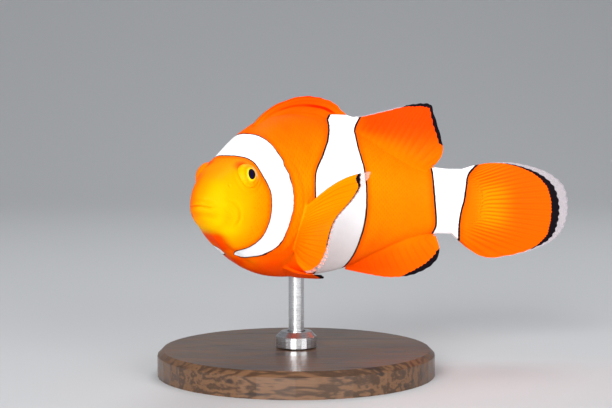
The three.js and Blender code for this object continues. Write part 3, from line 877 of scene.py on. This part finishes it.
def build_scales(name, first, last):
    """The scales between two places along the fish, in staggered rows round it."""
    template, plate = scale_template()
    x, rise = template[:, 0], (template[:, 1] + 1) / 2
    rng = np.random.default_rng(7)
    columns = bpy.context.scene.clownfish_sizes.scale_columns
    rows = {"rest": [], "tip": [], "shade": [], "map": []}
    along, row = FIRST_ROW, 0
    while along < LAST_ROW:
        ring = ring_turns(along)
        girth = ring[1][-1]
        width = girth / columns
        start = (np.arange(columns) + 0.5 * (row % 2)) * width
        wobble = rng.uniform(-SCALE_WOBBLE, SCALE_WOBBLE, (columns, 2)) * width
        tone = rng.uniform(0, 1, columns)
        row += 1
        here, along = along, along + ROW_STEP * width
        if not first <= here < last:
            continue
        rest, keep = lay_row(here, start, wobble, ring, width, template)
        u = here * MAP_LENGTH + rise * MAP_SCALE
        v = (start / girth)[:, None] % 1 * MAP_GIRTH + (x * 0.5 + 0.5) * MAP_SCALE
        tip, shade, u = (np.broadcast_to(values, v.shape) for values in (rise, tone[:, None], u))
        for key, values in zip(rows, (rest, tip, shade, np.stack([u, v], -1))):
            rows[key].append(values[keep])
    rest, tip, shade, flat = (np.concatenate(values) for values in rows.values())
    faces = (plate[None] + np.arange(len(rest))[:, None, None] * len(template)).reshape(-1, 3)
    rest = rest.reshape(-1, 3)
    mesh = bpy.data.meshes.new(name)
    mesh.from_pydata(to_frame(rest), [], faces)
    set_data(mesh, "rest", rest)
    set_data(mesh, "bar", body_bars(rest))
    set_data(mesh, "tip", tip.ravel())
    set_data(mesh, "shade", shade.ravel())
    unwrap = mesh.uv_layers.new(name="OFBake")
    corner = np.empty(len(mesh.loops), dtype=np.int32)
    mesh.loops.foreach_get("vertex_index", corner)
    unwrap.data.foreach_set("uv", flat.reshape(-1, 2)[corner].ravel())
    mesh.shade_smooth()
    mesh.set_sharp_from_angle(angle=SHARP_ANGLE)
    return link_new(name, mesh)


# ---- the eyes ------------------------------------------------------------------------------

PUPIL_LEAN = math.radians(20)  # of its long axis from upright
PUPIL_HALF = (0.34, 0.44)  # across and up, as shares of the eyeball
PUPIL_SHIFT = 0.06  # towards the snout
PALE_RISE = math.radians(20)  # of the iris's pale side, from straight behind the pupil
# Painted shade: the right eye is deepened to orange as if it lay in shade.
EYE_SHADE = {1: 0.0, -1: 0.75}  # how deep an orange the left and the right eye take on
EYE_BULGE = 0.1  # of the middle of the eye, millimetres
PUPIL_NONE = 9.0  # stands for far from the pupil, on the back of the ball


def build_eyeball(side, name):
    """A flattened ball that faces along the gaze, with the numbers that colour it."""
    bm = bmesh.new()
    bmesh.ops.create_uvsphere(bm, u_segments=64, v_segments=48, radius=1)
    ball = ball_places(bm)
    gaze = GAZE * (1, side, 1)
    upright = np.array((0, 0, 1.0)) - gaze * gaze[2]
    upright /= np.linalg.norm(upright)
    level = np.cross(gaze, upright)
    across = (ball[:, :1] * level + ball[:, 1:2] * upright) * EYE_RADIUS
    depth = ball[:, 2:] * EYE_DEPTH + EYE_BULGE * smoothstep(ball[:, 2:], 0.8, 1.0)
    straight = EYE * (1, side, 1) + (across + depth * gaze) * MM
    set_places(bm, to_frame(straight))
    bmesh.ops.recalc_face_normals(bm, faces=bm.faces)
    lean = -PUPIL_LEAN * side
    ahead, above = ball[:, 0] + PUPIL_SHIFT * side, ball[:, 1]
    aside = ahead * math.cos(lean) + above * math.sin(lean)
    risen = above * math.cos(lean) - ahead * math.sin(lean)
    pupil = np.hypot(aside / PUPIL_HALF[0], risen / PUPIL_HALF[1])
    rear = ball[:, 0] * side * math.cos(PALE_RISE) + above * math.sin(PALE_RISE)
    data = {
        "pupil": np.where(ball[:, 2] > 0, pupil, PUPIL_NONE),
        "rear": rear / np.maximum(np.hypot(ball[:, 0], above), 0.01),
        "shaded": np.full(len(ball), EYE_SHADE[side]),
    }
    return new_object(name, bm, data)


# ---- materials -----------------------------------------------------------------------------

def colour(name):
    """One of the colours in the panel, as a shader takes it."""
    return tuple(getattr(bpy.context.scene.clownfish_colours, name)) + (1.0,)


class Nodes:
    """A short way to lay out a material's nodes."""

    def __init__(self, name):
        self.material = bpy.data.materials.new(name)
        self.material.use_nodes = True
        self.tree = self.material.node_tree
        self.shader = self.tree.nodes["Principled BSDF"]

    def put(self, socket, value):
        if isinstance(value, bpy.types.NodeSocket):
            self.tree.links.new(value, socket)
        else:
            socket.default_value = value

    def node(self, kind, inputs=(), **settings):
        made = self.tree.nodes.new(kind)
        for key, value in settings.items():
            setattr(made, key, value)
        for key, value in dict(inputs).items():
            self.put(made.inputs[key], value)
        return made

    def stretched(self, scale):
        """Object coordinates, scaled on each axis, for a grain or for brush lines."""
        place = self.node("ShaderNodeTexCoord").outputs["Object"]
        return self.node("ShaderNodeMapping", {"Vector": place, "Scale": scale}).outputs[0]

    def attribute(self, name, output="Fac"):
        return self.node("ShaderNodeAttribute", attribute_name=name).outputs[output]

    def math(self, operation, first, second=0.0, clamp=False):
        made = self.node("ShaderNodeMath", {0: first, 1: second}, operation=operation, use_clamp=clamp)
        return made.outputs[0]

    def times(self, product, *others):
        for other in others:
            product = self.math("MULTIPLY", product, other)
        return product

    def swing(self, noise, size):
        """A noise made to swing round 0, instead of round a half."""
        return self.times(self.math("SUBTRACT", noise, 0.5), size)

    def ease(self, value, low, high, start=0.0, end=1.0):
        """A smooth step from start to end as value goes from low to high."""
        made = self.node("ShaderNodeMapRange", interpolation_type="SMOOTHSTEP")
        inputs = {"Value": value, "From Min": low, "From Max": high, "To Min": start, "To Max": end}
        for key, number in inputs.items():
            self.put(made.inputs[key], number)
        return made.outputs["Result"]

    def mix(self, share, first, second):
        made = self.node("ShaderNodeMix", data_type="RGBA")
        self.put(made.inputs["Factor"], share)
        self.put(made.inputs["A"], first)
        self.put(made.inputs["B"], second)
        return made.outputs["Result"]

    def lay(self, shown, layers, values):
        """Lays the colour of each layer over what is shown, by the product of the layer's steps."""
        for name, *steps in layers:
            share = self.times(*[self.ease(values[key], *ends) for key, *ends in steps])
            shown = self.mix(share, shown, colour(name))
        return shown

    def noise(self, scale, detail=2.0, vector=None, roughness=0.5):
        place = vector or self.node("ShaderNodeTexCoord").outputs["Object"]
        inputs = {"Vector": place, "Scale": scale, "Detail": detail, "Roughness": roughness}
        return self.node("ShaderNodeTexNoise", inputs).outputs["Fac"]

    def bumped(self, height, distance, strength=1.0):
        inputs = {"Height": height, "Distance": distance, "Strength": strength}
        return self.node("ShaderNodeBump", inputs).outputs["Normal"]

    def finish(self, **inputs):
        for key, value in inputs.items():
            self.put(self.shader.inputs[key.replace("_", " ").title().replace("Ior", "IOR")], value)
        return self.material


# Layers of colour. Each is a colour and the steps whose product is its share. A step is a value and
# the two levels between which it eases from 0 to 1, or from a third number to a fourth.
# The back, its top, the belly, which is partly painted shade, the stalk and the breast.
BODY_LAYERS = [
    ("deep_orange", ("high", 0.04, 0.25)),
    ("red_orange", ("high", 0.22, 0.3)),
    # Partly painted shade: low on the flank and on the belly the orange deepens to red orange, partly the
    # fish's own colour and partly the shade under the body.
    ("red_orange", ("high", -0.05, -0.19)),
    ("deep_orange", ("along", 0.6, 0.86, 0.0, 0.5)),
    ("yellow_orange", ("along", 0.46, 0.3), ("aside", 0.05, 0.09), ("off_level", 0.11, 0.0, 0.0, 0.5)),
]
# Painted light under the mouth, as if lit from below, the lips, the crown, painted shade on the right side,
# and the throat in two layers.
FACE_LAYERS = [
    # Painted light: the chin is turned a brighter yellow, as if lit from below.
    ("chin_yellow", ("high", -0.015, -0.055), ("along", 0.13, 0.07, 0.0, 0.7), ("up", -0.085, -0.065)),
    ("face_orange", ("along", 0.05, 0.0, 0.0, 0.45)),
    ("deep_orange", ("high", 0.1, 0.14, 0.0, 0.35)),
    # Painted shade: the right side of the face, turned away from the lights, is deepened to orange.
    ("deep_orange", ("out", 0.04, -0.045, 0.0, 0.85), ("off_cheek", 0.03, 0.075, 1.0, 0.3)),
    ("deep_orange", ("high", -0.06, -0.12, 0.0, 0.15)),
    ("throat_red", ("up", -0.056, -0.08), ("off_throat", 0.062, 0.028), ("cloud", 0.35, 0.6, 0.55, 0.95)),
]
# Over the eyes.
BROW_LAYERS = [("red_orange", ("off_brow", 0.032, 0.006))]
# The tail fin, the soft fin of the back and the anal fin, which is turned back towards orange out of the
# belly's painted shade.
FIN_LAYERS = [
    ("fin_orange", ("along", 0.92, 1.06)),
    ("ridge_red", ("up", 0.13, 0.24, 0.2, 1.0), ("along", 0.58, 0.7), ("blade", 0.0, 0.4)),
    ("orange", ("along", 0.66, 0.9), ("up", -0.06, -0.12), ("along", 1.0, 0.93, 0.0, 0.15)),
]
# Painted shade in the deep fold of the spiny fin, the gold between the tail's rays and the yellow of its
# middle.
RAY_LAYERS = [
    ("fold_red", ("up", 0.245, 0.262), ("along", 0.62, 0.58), ("along", 0.44, 0.51), ("wave", 0.35, 0.92)),
    ("orange", ("wave", 0.4, -0.9), ("along", 0.98, 1.04), ("along", 1.17, 1.04, 0.0, 0.4),
     ("up", -0.12, -0.06, 0.2, 1.0)),
    ("yellow_orange", ("along", 1.0, 1.06), ("along", 1.155, 1.07), ("off_middle", 0.085, 0.03),
     ("lines", 0.0, 1.0, 0.65, 0.25)),
]
BAR_EDGE_LAYERS = [
    ("red_orange", ("outline", -0.022, 0.0, 0.0, 0.6)),
    ("black", ("outline", -0.0012, 0.0012)),
]
BLACK_BAND_LAYERS = [("black", ("dark", -0.0006, 0.0008))]


def off(nodes, value, middle):
    """How far a value is from its middle, either way."""
    return nodes.math("ABSOLUTE", nodes.math("SUBTRACT", value, middle))


def fish_values(nodes):
    """What the fish's colours go by: the place on the straight fish and soft noises that vary it."""
    rest = nodes.node("ShaderNodeSeparateXYZ", {0: nodes.attribute("rest", "Vector")})
    along, out, up = rest.outputs
    cloud = nodes.noise(160, 2)
    high = nodes.math("ADD", up, nodes.swing(cloud, 0.08))
    aside = nodes.math("ABSOLUTE", out)
    mirrored = nodes.node("ShaderNodeCombineXYZ", {0: along, 1: aside, 2: up}).outputs[0]
    brow = nodes.node("ShaderNodeVectorMath", {0: mirrored, 1: BROW}, operation="DISTANCE")
    return {
        "along": along, "out": out, "up": up, "aside": aside, "high": high, "cloud": cloud,
        "fine": nodes.noise(900, 3), "off_brow": brow.outputs["Value"],
        "off_level": nodes.math("ABSOLUTE", high), "off_cheek": off(nodes, high, 0.03),
        "off_throat": off(nodes, out, -0.02),
    }


def face_colours(nodes, values):
    """The face: a yellow, blotched muzzle and what lies over it."""
    muzzle = nodes.times(nodes.ease(values["along"], 0.24, 0.05), nodes.ease(values["high"], 0.13, 0.0))
    blotch = nodes.times(nodes.swing(values["cloud"], 0.7), muzzle)
    muzzle = nodes.math("ADD", muzzle, blotch, clamp=True)
    face = nodes.mix(muzzle, colour("face_orange"), colour("yellow"))
    return nodes.lay(face, FACE_LAYERS, values)


def fin_colours(nodes, body, values):
    """The fins over the body: fanned breast fins, red lines between the rays, painted shade in the folds of
    the spiny fin, and gold and yellow on the tail.
    """
    along, up, blade, ray = values["along"], values["up"], nodes.attribute("blade"), nodes.attribute("ray")
    spread = nodes.ease(values["aside"], 0.07, 0.12)
    fan = nodes.mix(nodes.ease(values["high"], 0.0, -0.13, 0.1, 0.6), colour("orange"), colour("fin_orange"))
    body = nodes.mix(nodes.times(nodes.ease(blade, 0.0, 0.2), spread), body, fan)
    wave = nodes.math("COSINE", nodes.times(ray, 2 * math.pi))
    parted = nodes.math("COSINE", nodes.times(ray, 4 * math.pi))
    forks = nodes.times(nodes.ease(parted, 0.5, 1.0), nodes.ease(blade, 0.45, 0.7, 0.0, 0.5))
    lines = nodes.math("MAXIMUM", nodes.ease(wave, 0.3, 1.0), forks)
    off_middle = nodes.math("ABSOLUTE", up)
    values.update(blade=blade, wave=wave, parted=parted, lines=lines, off_middle=off_middle)
    body = nodes.lay(body, FIN_LAYERS, values)
    strong = nodes.math("MAXIMUM", spread, nodes.ease(along, 0.98, 1.05))
    # Painted shade: the red lines are drawn stronger in the creases of the folded spiny fin.
    crease_shade = nodes.times(nodes.ease(up, 0.245, 0.262), nodes.ease(along, 0.62, 0.58))
    strength = nodes.math("MAXIMUM", nodes.ease(strong, 0.0, 1.0, 0.2, 0.28), crease_shade)
    seen = nodes.times(nodes.ease(blade, 0.12, 0.4), nodes.ease(blade, 1.0, 0.55, 0.35, 1.0), strength)
    body = nodes.mix(nodes.times(lines, seen), body, colour("fin_red"))
    return nodes.lay(body, RAY_LAYERS, values)


def bar_colours(nodes, body, values):
    """The white bars, with ragged black edges, a deeper orange beside them and painted shade low on them."""
    along, up, fine = values["along"], values["up"], values["fine"]
    bar = nodes.math("ADD", nodes.attribute("bar"), nodes.swing(fine, 0.0035))
    notched = nodes.times(nodes.ease(along, 0.235, 0.26), nodes.ease(along, 0.36, 0.33, 0.0, 0.018))
    bar = nodes.math("ADD", bar, nodes.swing(nodes.noise(480, 2), notched))
    width = nodes.ease(along, 0.3, 0.42, 0.0042, 0.0064)
    values["outline"] = nodes.math("ADD", bar, width)
    body = nodes.lay(body, BAR_EDGE_LAYERS, values)
    # Painted shade: low on the flank the bars turn a lavender grey, where the body turns under.
    shade = nodes.times(nodes.ease(up, -0.03, -0.15, 0.0, 0.75), nodes.ease(along, 0.3, 0.42))
    white = nodes.mix(shade, colour("white"), colour("bar_shade_white"))
    return nodes.mix(nodes.ease(bar, -0.001, 0.001), body, white)


def fish_colours(nodes, fins):
    """The fish's colours at a place: the same on the skin and on the scales."""
    values = fish_values(nodes)
    body = nodes.lay(colour("orange"), BODY_LAYERS, values)
    body = nodes.mix(nodes.ease(values["along"], 0.2, 0.25), face_colours(nodes, values), body)
    body = nodes.lay(body, BROW_LAYERS, values)
    if fins:
        body = fin_colours(nodes, body, values)
    body = bar_colours(nodes, body, values)
    if fins:
        rough = nodes.swing(nodes.noise(650, 3), 0.009)
        dark = nodes.math("ADD", nodes.attribute("dark"), rough)
        values["dark"] = nodes.math("ADD", dark, nodes.times(values["parted"], 0.001))
        body = nodes.lay(body, BLACK_BAND_LAYERS, values)
    return body, values["fine"]


def skin_material():
    nodes = Nodes("fish skin")
    shown, fine = fish_colours(nodes, fins=True)
    pores = nodes.noise(2600, 2)
    height = nodes.math("ADD", nodes.times(fine, 0.6), nodes.times(pores, 0.4))
    return nodes.finish(
        base_color=shown,
        roughness=nodes.ease(fine, 0.3, 0.7, 0.4, 0.5),
        normal=nodes.bumped(height, 0.00005, 0.4),
        specular_ior_level=0.015,
    )


def margin_material():
    nodes = Nodes("clear fin margin")
    ray = nodes.attribute("ray")
    out = nodes.node("ShaderNodeSeparateXYZ", {0: nodes.attribute("rest", "Vector")}).outputs[1]
    wave = nodes.math("COSINE", nodes.times(ray, 4 * math.pi))
    rays = nodes.mix(nodes.ease(nodes.math("ABSOLUTE", out), 0.05, 0.1), colour("margin_web"),
                     colour("margin_ray"))
    shown = nodes.mix(nodes.ease(wave, -0.3, 0.8), rays, colour("margin_web"))
    return nodes.finish(base_color=shown, roughness=0.35, alpha=0.34)


def scale_material():
    nodes = Nodes("fish scales")
    shown, fine = fish_colours(nodes, fins=False)
    tip, shade = nodes.attribute("tip"), nodes.attribute("shade")
    # Painted shade: each scale deepens to red orange towards its free edge, where the next row would shade
    # it, and a random few deepen a little more.
    rim_shade = nodes.ease(tip, 0.72, 1.0, 0.0, 0.3)
    rim_shade_and_tone = nodes.math("ADD", rim_shade, nodes.ease(shade, 0.3, 1.0, 0.0, 0.12))
    plain = nodes.times(rim_shade_and_tone, nodes.ease(nodes.attribute("bar"), -0.006, -0.012))
    shown = nodes.mix(plain, shown, colour("red_orange"))
    hsv = nodes.node("ShaderNodeHueSaturation", {"Value": nodes.ease(shade, 0, 1, 0.98, 1.0),
                                                 "Color": shown})
    return nodes.finish(
        base_color=hsv.outputs["Color"],
        roughness=nodes.ease(fine, 0.3, 0.7, 0.38, 0.48),
        normal=nodes.bumped(fine, 0.00003, 0.3),
        specular_ior_level=0.015,
    )


EYE_LAYERS = [
    ("iris_gold", ("away", 1.5, 1.15)),
    ("yellow", ("away", 1.6, 2.1, 0.0, 0.5)),
    ("iris_pale", ("rear", 0.6, 0.95), ("away", 1.1, 1.4)),
]


def eye_material():
    """Black pupil, yellow ring, flecked orange iris, pale behind, and painted shade on the right eye: by the
    eye's own numbers.
    """
    nodes = Nodes("fish eye")
    values = {"away": nodes.attribute("pupil"), "rear": nodes.attribute("rear")}
    fleck = nodes.noise(2500, 3)
    iris = nodes.mix(nodes.ease(fleck, 0.3, 0.7), colour("iris_orange"), colour("iris_yellow"))
    iris = nodes.lay(iris, EYE_LAYERS, values)
    # Painted shade: the right eye is deepened to orange.
    iris = nodes.mix(nodes.attribute("shaded"), iris, colour("deep_orange"))
    shown = nodes.mix(nodes.ease(values["away"], 1.05, 0.97), iris, colour("pupil"))
    return nodes.finish(base_color=shown, roughness=0.35, specular_ior_level=0.03)


def wood_material():
    nodes = Nodes("dark turned wood")
    rings = nodes.noise(28, 4, nodes.stretched((1.0, 9.0, 9.0)), 0.6)
    bands = nodes.math("SINE", nodes.times(rings, 42))
    pores = nodes.noise(420, 2, nodes.stretched((0.08, 1.0, 1.0)))
    tone = nodes.mix(nodes.ease(bands, -1, 1), colour("wood_dark"), colour("wood_light"))
    tone = nodes.mix(nodes.ease(pores, 0.62, 0.7), tone, colour("wood_pore"))
    return nodes.finish(
        base_color=tone,
        roughness=nodes.ease(bands, -1, 1, 0.34, 0.46),
        normal=nodes.bumped(nodes.times(pores, -1), 0.00005, 0.6),
        coat_weight=0.25,
        coat_roughness=0.2,
    )


def steel_material():
    nodes = Nodes("brushed steel")
    lines = nodes.noise(900, 3, nodes.stretched((0.3, 0.3, 14.0)))
    return nodes.finish(
        base_color=nodes.mix(lines, colour("steel_dark"), colour("steel_light")),
        metallic=1.0,
        roughness=nodes.ease(lines, 0.3, 0.7, 0.24, 0.4),
        normal=nodes.bumped(lines, 0.00002, 0.4),
    )


def floor_material():
    nodes = Nodes("pale floor")
    tone = nodes.mix(nodes.ease(nodes.noise(30, 3), 0.3, 0.7, 0, 0.04), colour("floor"),
                     colour("floor_mottle"))
    return nodes.finish(base_color=tone, roughness=0.7)


# ---- settings ------------------------------------------------------------------------------

class ClownfishSizes(bpy.types.PropertyGroup):
    """Sizes of the finish that a user may change."""

    coat_depth: FloatProperty(
        name="Coat depth", default=0.042, min=0.02, max=0.4,
        description="Depth of the coat of scales over the skin, in millimetres")
    scale_columns: IntProperty(
        name="Scales round the body", default=54, min=16, max=80,
        description="Number of scales in each row round the body")
    camera_distance: FloatProperty(
        name="Camera distance", default=0.2805, unit="LENGTH",
        description="From the camera to the point that it looks at")
    camera_lens: FloatProperty(
        name="Camera lens", default=85, description="Focal length of the camera, in millimetres")
    camera_elevation: FloatProperty(
        name="Camera elevation", default=math.radians(3.7), subtype="ANGLE", unit="ROTATION",
        description="How far the camera looks down")
    light_strength: FloatProperty(
        name="Light strength", default=1.0, min=0.0, description="Brightness of the studio lights")


def colour_setting(name, description, value):
    return FloatVectorProperty(name=name, description=description, default=value, subtype="COLOR",
                               min=0, max=1)


class ClownfishColours(bpy.types.PropertyGroup):
    """Colours of the finish that a user may change."""

    orange: colour_setting("Orange", "The flank", (1.0, 0.25, 0.0))
    # Deep orange is also painted shade on the right side of the face and on the right eye.
    deep_orange: colour_setting("Deep orange", "The back", (1.0, 0.115, 0.0))
    # On the belly this red orange is partly painted shade.
    red_orange: colour_setting("Red orange", "The top, the belly and beside the bars", (1.0, 0.075, 0.0))
    yellow_orange: colour_setting("Yellow orange", "The breast", (1.0, 0.27, 0.0))
    face_orange: colour_setting("Face orange", "The crown and the cheeks", (1.0, 0.245, 0.0))
    throat_red: colour_setting("Throat red", "The throat", (0.85, 0.04, 0.0))
    # Painted light: a brighter yellow under the mouth, as if lit from below.
    chin_yellow: colour_setting("Chin yellow", "Under the mouth", (1.0, 0.56, 0.0))
    yellow: colour_setting("Yellow", "The muzzle", (1.0, 0.42, 0.0))
    fin_orange: colour_setting("Fin orange", "The tail fin", (1.0, 0.11, 0.0))
    ridge_red: colour_setting("Ridge red", "The soft fin of the back", (1.0, 0.05, 0.0))
    # Painted shade: the darkest red, in the folds of the spiny fin.
    fold_red: colour_setting("Fold red", "The deepest folds of the spiny fin", (0.7, 0.012, 0.0))
    fin_red: colour_setting("Fin red", "The lines between the rays", (0.8, 0.04, 0.0))
    white: colour_setting("White", "The bars", (0.95, 0.95, 0.96))
    # Painted shade on the lower part of the bars.
    bar_shade_white: colour_setting("Lavender white", "The bars, low on the flank", (0.7, 0.62, 0.62))
    black: colour_setting("Black", "The edges of the bars and fins", (0.006, 0.004, 0.006))
    margin_web: colour_setting("Margin", "The clear edge of the fins", (0.5, 0.43, 0.46))
    margin_ray: colour_setting("Margin rays", "The ray tips of the breast fins", (1.0, 0.5, 0.4))
    pupil: colour_setting("Pupil", "The pupils", (0.006, 0.004, 0.02))
    iris_gold: colour_setting("Iris gold", "The ring round the pupil", (1.0, 0.58, 0.01))
    iris_pale: colour_setting("Iris pale", "The rear edge of the iris", (1.0, 0.52, 0.24))
    iris_yellow: colour_setting("Iris yellow", "The iris's flecks", (1.0, 0.34, 0.0))
    iris_orange: colour_setting("Iris orange", "Between the flecks", (1.0, 0.25, 0.0))
    wood_dark: colour_setting("Wood, dark", "The base's dark grain", (0.055, 0.026, 0.012))
    wood_light: colour_setting("Wood, light", "The base's light grain", (0.14, 0.066, 0.028))
    wood_pore: colour_setting("Wood pores", "The base's pores", (0.03, 0.014, 0.008))
    steel_dark: colour_setting("Steel, dark", "The rod's darker brush lines", (0.5, 0.5, 0.51))
    steel_light: colour_setting("Steel, light", "The rod's lighter brush lines", (0.68, 0.68, 0.69))
    floor: colour_setting("Floor", "The floor and backdrop", (0.6, 0.61, 0.62))
    floor_mottle: colour_setting("Floor mottle", "The faint mottle of the floor", (0.6, 0.6, 0.6))


# ---- operators -----------------------------------------------------------------------------

class CLOWNFISH_OT_skin(bpy.types.Operator):
    """Make the one skin of the body and fins"""

    bl_idname = "clownfish.skin"
    bl_label = "Skin"

    def execute(self, context):
        skin = build_body()
        join_solids(skin, [fin.build() for fin in all_fins()], (skin_material(), margin_material()))
        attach(skin, BODY)
        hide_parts(*FLESH)
        return {"FINISHED"}


class CLOWNFISH_OT_scales(bpy.types.Operator):
    """Lay the scales over the skin"""

    bl_idname = "clownfish.scales"
    bl_label = "Scales"

    def execute(self, context):
        finish = scale_material()
        for name, first, last in SCALE_PIECES:
            scales = build_scales(name, first, last)
            scales.data.materials.append(finish)
            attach(scales, BODY)
        return {"FINISHED"}


class CLOWNFISH_OT_eyes(bpy.types.Operator):
    """Make the two eyes"""

    bl_idname = "clownfish.eyes"
    bl_label = "Eyes"

    def execute(self, context):
        finish = eye_material()
        for side, node in ((1, "eye_left"), (-1, "eye_right")):
            eye = build_eyeball(side, node.replace("eye_", "eyeball_"))
            eye.data.materials.append(finish)
            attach(eye, BODY)
            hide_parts(node)
        return {"FINISHED"}


class CLOWNFISH_OT_stand(bpy.types.Operator):
    """Finish the stand's wood and steel"""

    bl_idname = "clownfish.stand"
    bl_label = "Stand"

    def execute(self, context):
        wood, steel = wood_material(), steel_material()
        for name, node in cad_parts.items():
            if name.startswith("stand_"):
                finish = wood if name == "stand_base" else steel
                for slot in node.material_slots:
                    slot.material = finish
        return {"FINISHED"}


# Name, place from the middle of the stage at the mouth's level, size and energy.
LAMPS = [
    ("key", (-0.2, -0.62, 0.26), 0.4, 4.75),
    ("fill", (0.4, -0.55, 0.16), 0.4, 2.4),
    ("front", (-0.12, -0.6, 0.02), 0.3, 1.3),
    ("top", (0.1, 0.3, 0.6), 0.4, 1.4),
]
FLOOR_HALF = 2.0
BACKDROP_AT, BACKDROP_RADIUS = 0.5, 0.7  # where the floor starts to curve up behind, and how
SKY_COLOUR, SKY_STRENGTH = (0.9, 0.93, 1.0, 1), 0.3
CAMERA_RIGHT, CAMERA_UP = 0.0019, -0.0002  # the point looked at, from that same middle


def area_light(name, place, target, size, energy):
    light = bpy.data.lights.new(name, "AREA")
    light.shape = "DISK"
    light.size = size
    light.energy = energy * bpy.context.scene.clownfish_sizes.light_strength
    lamp = link_new(name, light)
    lamp.location = place
    lamp.rotation_euler = (Vector(target) - Vector(place)).to_track_quat("-Z", "Y").to_euler()


def build_floor():
    """A flat sheet that curves up into a wall behind the fish."""
    bm = bmesh.new()
    bmesh.ops.create_grid(bm, x_segments=2, y_segments=64, size=FLOOR_HALF)
    for vertex in bm.verts:
        past = vertex.co.y - BACKDROP_AT
        if past > 0:
            angle = min(past / BACKDROP_RADIUS, math.pi / 2)
            wall = max(past - BACKDROP_RADIUS * math.pi / 2, 0)
            vertex.co.y = BACKDROP_AT + BACKDROP_RADIUS * math.sin(angle)
            vertex.co.z = BACKDROP_RADIUS * (1 - math.cos(angle)) + wall
    return new_object("floor", bm)


class CLOWNFISH_OT_stage(bpy.types.Operator):
    """Set the floor, the lights and the camera"""

    bl_idname = "clownfish.stage"
    bl_label = "Stage"

    def execute(self, context):
        sizes = context.scene.clownfish_sizes
        floor = build_floor()
        floor.data.materials.append(floor_material())

        mouth_level = float(PLACE[2])
        for name, (x, y, z), size, energy in LAMPS:
            area_light(name, (x, y, mouth_level + z), (0, 0, mouth_level), size, energy)
        world = bpy.data.worlds.new("studio")
        world.use_nodes = True
        sky = world.node_tree.nodes["Background"].inputs
        sky["Color"].default_value = SKY_COLOUR
        sky["Strength"].default_value = SKY_STRENGTH
        context.scene.world = world
        context.scene.view_settings.view_transform = "Standard"

        camera = link_new("camera", bpy.data.cameras.new("camera"))
        camera.data.lens = sizes.camera_lens
        camera.data.dof.use_dof = False
        target = Vector((CAMERA_RIGHT, 0, mouth_level + CAMERA_UP))
        tilt = sizes.camera_elevation
        away = Vector((0, -math.cos(tilt), math.sin(tilt))) * sizes.camera_distance
        camera.location = target + away
        camera.rotation_euler = (-away).to_track_quat("-Z", "Y").to_euler()
        context.scene.camera = camera
        return {"FINISHED"}


OPERATORS = (CLOWNFISH_OT_stage, CLOWNFISH_OT_skin, CLOWNFISH_OT_scales, CLOWNFISH_OT_eyes,
             CLOWNFISH_OT_stand)


class CLOWNFISH_PT_panel(bpy.types.Panel):
    """The pieces of the fish, in the order in which they are made"""

    bl_idname = "CLOWNFISH_PT_panel"
    bl_label = "Clownfish"
    bl_space_type = "VIEW_3D"
    bl_region_type = "UI"
    bl_category = "Clownfish"

    def draw(self, context):
        for operator in OPERATORS:
            self.layout.operator(operator.bl_idname)
        for group in (context.scene.clownfish_sizes, context.scene.clownfish_colours):
            for name in group.__annotations__:
                self.layout.prop(group, name)


CLASSES = (ClownfishSizes, ClownfishColours) + OPERATORS + (CLOWNFISH_PT_panel,)


def register():
    for one in CLASSES:
        bpy.utils.register_class(one)
    bpy.types.Scene.clownfish_sizes = PointerProperty(type=ClownfishSizes)
    bpy.types.Scene.clownfish_colours = PointerProperty(type=ClownfishColours)


def unregister():
    del bpy.types.Scene.clownfish_colours
    del bpy.types.Scene.clownfish_sizes
    for one in reversed(CLASSES):
        bpy.utils.unregister_class(one)


def main():
    register()
    for operator in OPERATORS:
        getattr(bpy.ops.clownfish, operator.bl_idname.split(".")[1])()
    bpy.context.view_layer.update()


if __name__ == "__main__":
    main()
